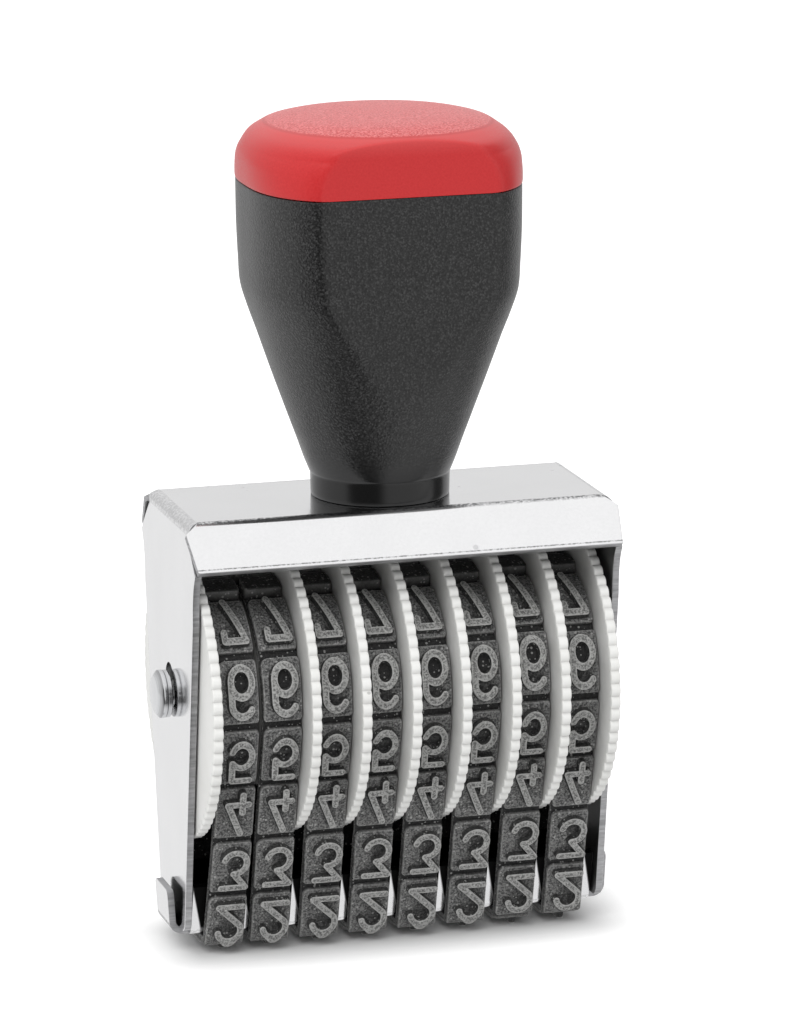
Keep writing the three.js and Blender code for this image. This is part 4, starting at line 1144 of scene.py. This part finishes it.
def make_floor():
    """A flat square under the digits, far wider than the view.

    For the camera it is lifted to white, on a straight scale from 1 to 13 mm
    outside the box of the bands, so a painted shadow the shape of that box stays round them. The
    glossy faces see the dark strips on it.
    """
    mesh = bpy.data.meshes.new("studio_floor")
    mesh.from_pydata([(-4, -4, 0), (4, -4, 0), (4, 4, 0), (-4, 4, 0)], [], [(0, 1, 2, 3)])
    floor = bpy.data.objects.new("studio_floor", mesh)
    bpy.context.scene.collection.objects.link(floor)
    material = bpy.data.materials.new("studio_floor")
    material.use_nodes = True
    tree = material.node_tree
    tree.nodes.clear()
    ray = put(tree, "ShaderNodeLightPath").outputs
    x, y, _ = axes_of(tree, put(tree, "ShaderNodeTexCoord").outputs["Object"])
    past = [sums(tree, "SUBTRACT", sums(tree, "ABSOLUTE", part), half)
            for part, half in ((x, 0.029), (y, 0.006))]
    apart = length_of(tree, *(sums(tree, "MAXIMUM", part, 0.0) for part in past))
    # Painted shadow: the floor's glow for the camera is held back near the bands.
    lifted = times(tree, spread(tree, apart, 0.001, 0.013, 0.0, 0.6), ray["Is Camera Ray"])
    mirrored = sums(tree, "MAXIMUM", ray["Is Glossy Ray"], ray["Is Transmission Ray"])
    shine = strip_light(tree, x, y, spread(tree, apart, 0.02, 0.06))
    shine = times(tree, spread(tree, y, -0.22, 0.0, 0.68, 0.9), shine)
    matt = put(tree, "ShaderNodeBsdfDiffuse", {"Color": paint(228, 228, 228)})
    lift = put(tree, "ShaderNodeEmission", {"Color": WHITE, "Strength": lifted})
    both = put(tree, "ShaderNodeAddShader", {0: matt.outputs[0], 1: lift.outputs[0]})
    seen = put(tree, "ShaderNodeEmission", {"Color": WHITE, "Strength": shine})
    shaders = {0: mirrored, 1: both.outputs[0], 2: seen.outputs[0]}
    either = put(tree, "ShaderNodeMixShader", shaders).outputs[0]
    put(tree, "ShaderNodeOutputMaterial", {"Surface": either})
    mesh.materials.append(material)


def make_surround():
    """White for the camera, even for the matt faces, and for the glossy faces dimmer below.

    The glossy faces also see the dark strips in it, up to a height.
    """
    world = bpy.data.worlds.new("studio_surround")
    world.use_nodes = True
    tree = world.node_tree
    tree.nodes.clear()
    ray = put(tree, "ShaderNodeLightPath").outputs
    x, y, z = axes_of(tree, put(tree, "ShaderNodeTexCoord").outputs["Generated"])
    shine = strip_light(tree, x, y, spread(tree, z, 0.75, 0.45))
    shine = times(tree, spread(tree, z, 0.1, 0.9, 0.76, 1.06), shine)
    shown = sums(tree, "MAXIMUM", ray["Is Camera Ray"], ray["Is Transmission Ray"])
    strength = put(tree, "ShaderNodeMix", {0: shown, 2: shine, 3: 1.0}).outputs[0]
    lit = put(tree, "ShaderNodeMix", {0: ray["Is Diffuse Ray"], 2: strength, 3: 0.80}).outputs[0]
    light = put(tree, "ShaderNodeBackground", {"Color": WHITE, "Strength": lit}).outputs[0]
    put(tree, "ShaderNodeOutputWorld", {"Surface": light})
    bpy.context.scene.world = world


def stand(name, data, right, up, back, place):
    """A lamp or a camera at a place in metres, which looks against `back`."""
    turned = np.eye(4)
    turned[:3] = np.stack([right, up, back, place], axis=1)
    thing = bpy.data.objects.new(name, data)
    thing.matrix_world = Matrix(turned.tolist())
    bpy.context.scene.collection.objects.link(thing)
    return thing


def make_lamp(name, place, target, size, watts):
    """A square soft lamp at a place, turned to a target. It isn't mirrored in the plate."""
    data = bpy.data.lights.new(name, "AREA")
    data.shape, data.size, data.energy = "SQUARE", size, watts
    back = np.subtract(place, target)
    back /= np.linalg.norm(back)
    right = np.cross((0, 0, 1), back)
    right /= np.linalg.norm(right)
    stand(name, data, right, np.cross(back, right), back, place).visible_glossy = False


def make_camera(azimuth, elevation, roll, distance, target):
    """The photograph's camera: degrees left of the front, up and rolled, then millimetres."""
    azimuth, elevation, roll = np.radians([azimuth, elevation, roll])
    level_back = np.array([-math.sin(azimuth), -math.cos(azimuth), 0]) * math.cos(elevation)
    back = level_back + (0, 0, math.sin(elevation))
    level = np.array([math.cos(azimuth), -math.sin(azimuth), 0])
    upright = np.cross(back, level)
    right = math.cos(roll) * level + math.sin(roll) * upright
    up = -math.sin(roll) * level + math.cos(roll) * upright
    data = bpy.data.cameras.new("photo_camera")
    data.sensor_width, data.lens = 36, 194.97
    data.clip_start, data.clip_end = 0.05, 20
    place = (np.array(target) + distance * back) * 0.001
    bpy.context.scene.camera = stand("photo_camera", data, right, up, back, place)


make_floor()
make_surround()
make_lamp("soft_lamp", (-0.45, -0.55, 0.9), (0, 0, 0.06), 0.7, 5.0)
make_camera(16.005, 13.188, -0.286, 824.48, (2.772, 0, 64.074))
bpy.context.scene.view_settings.view_transform = "Standard"
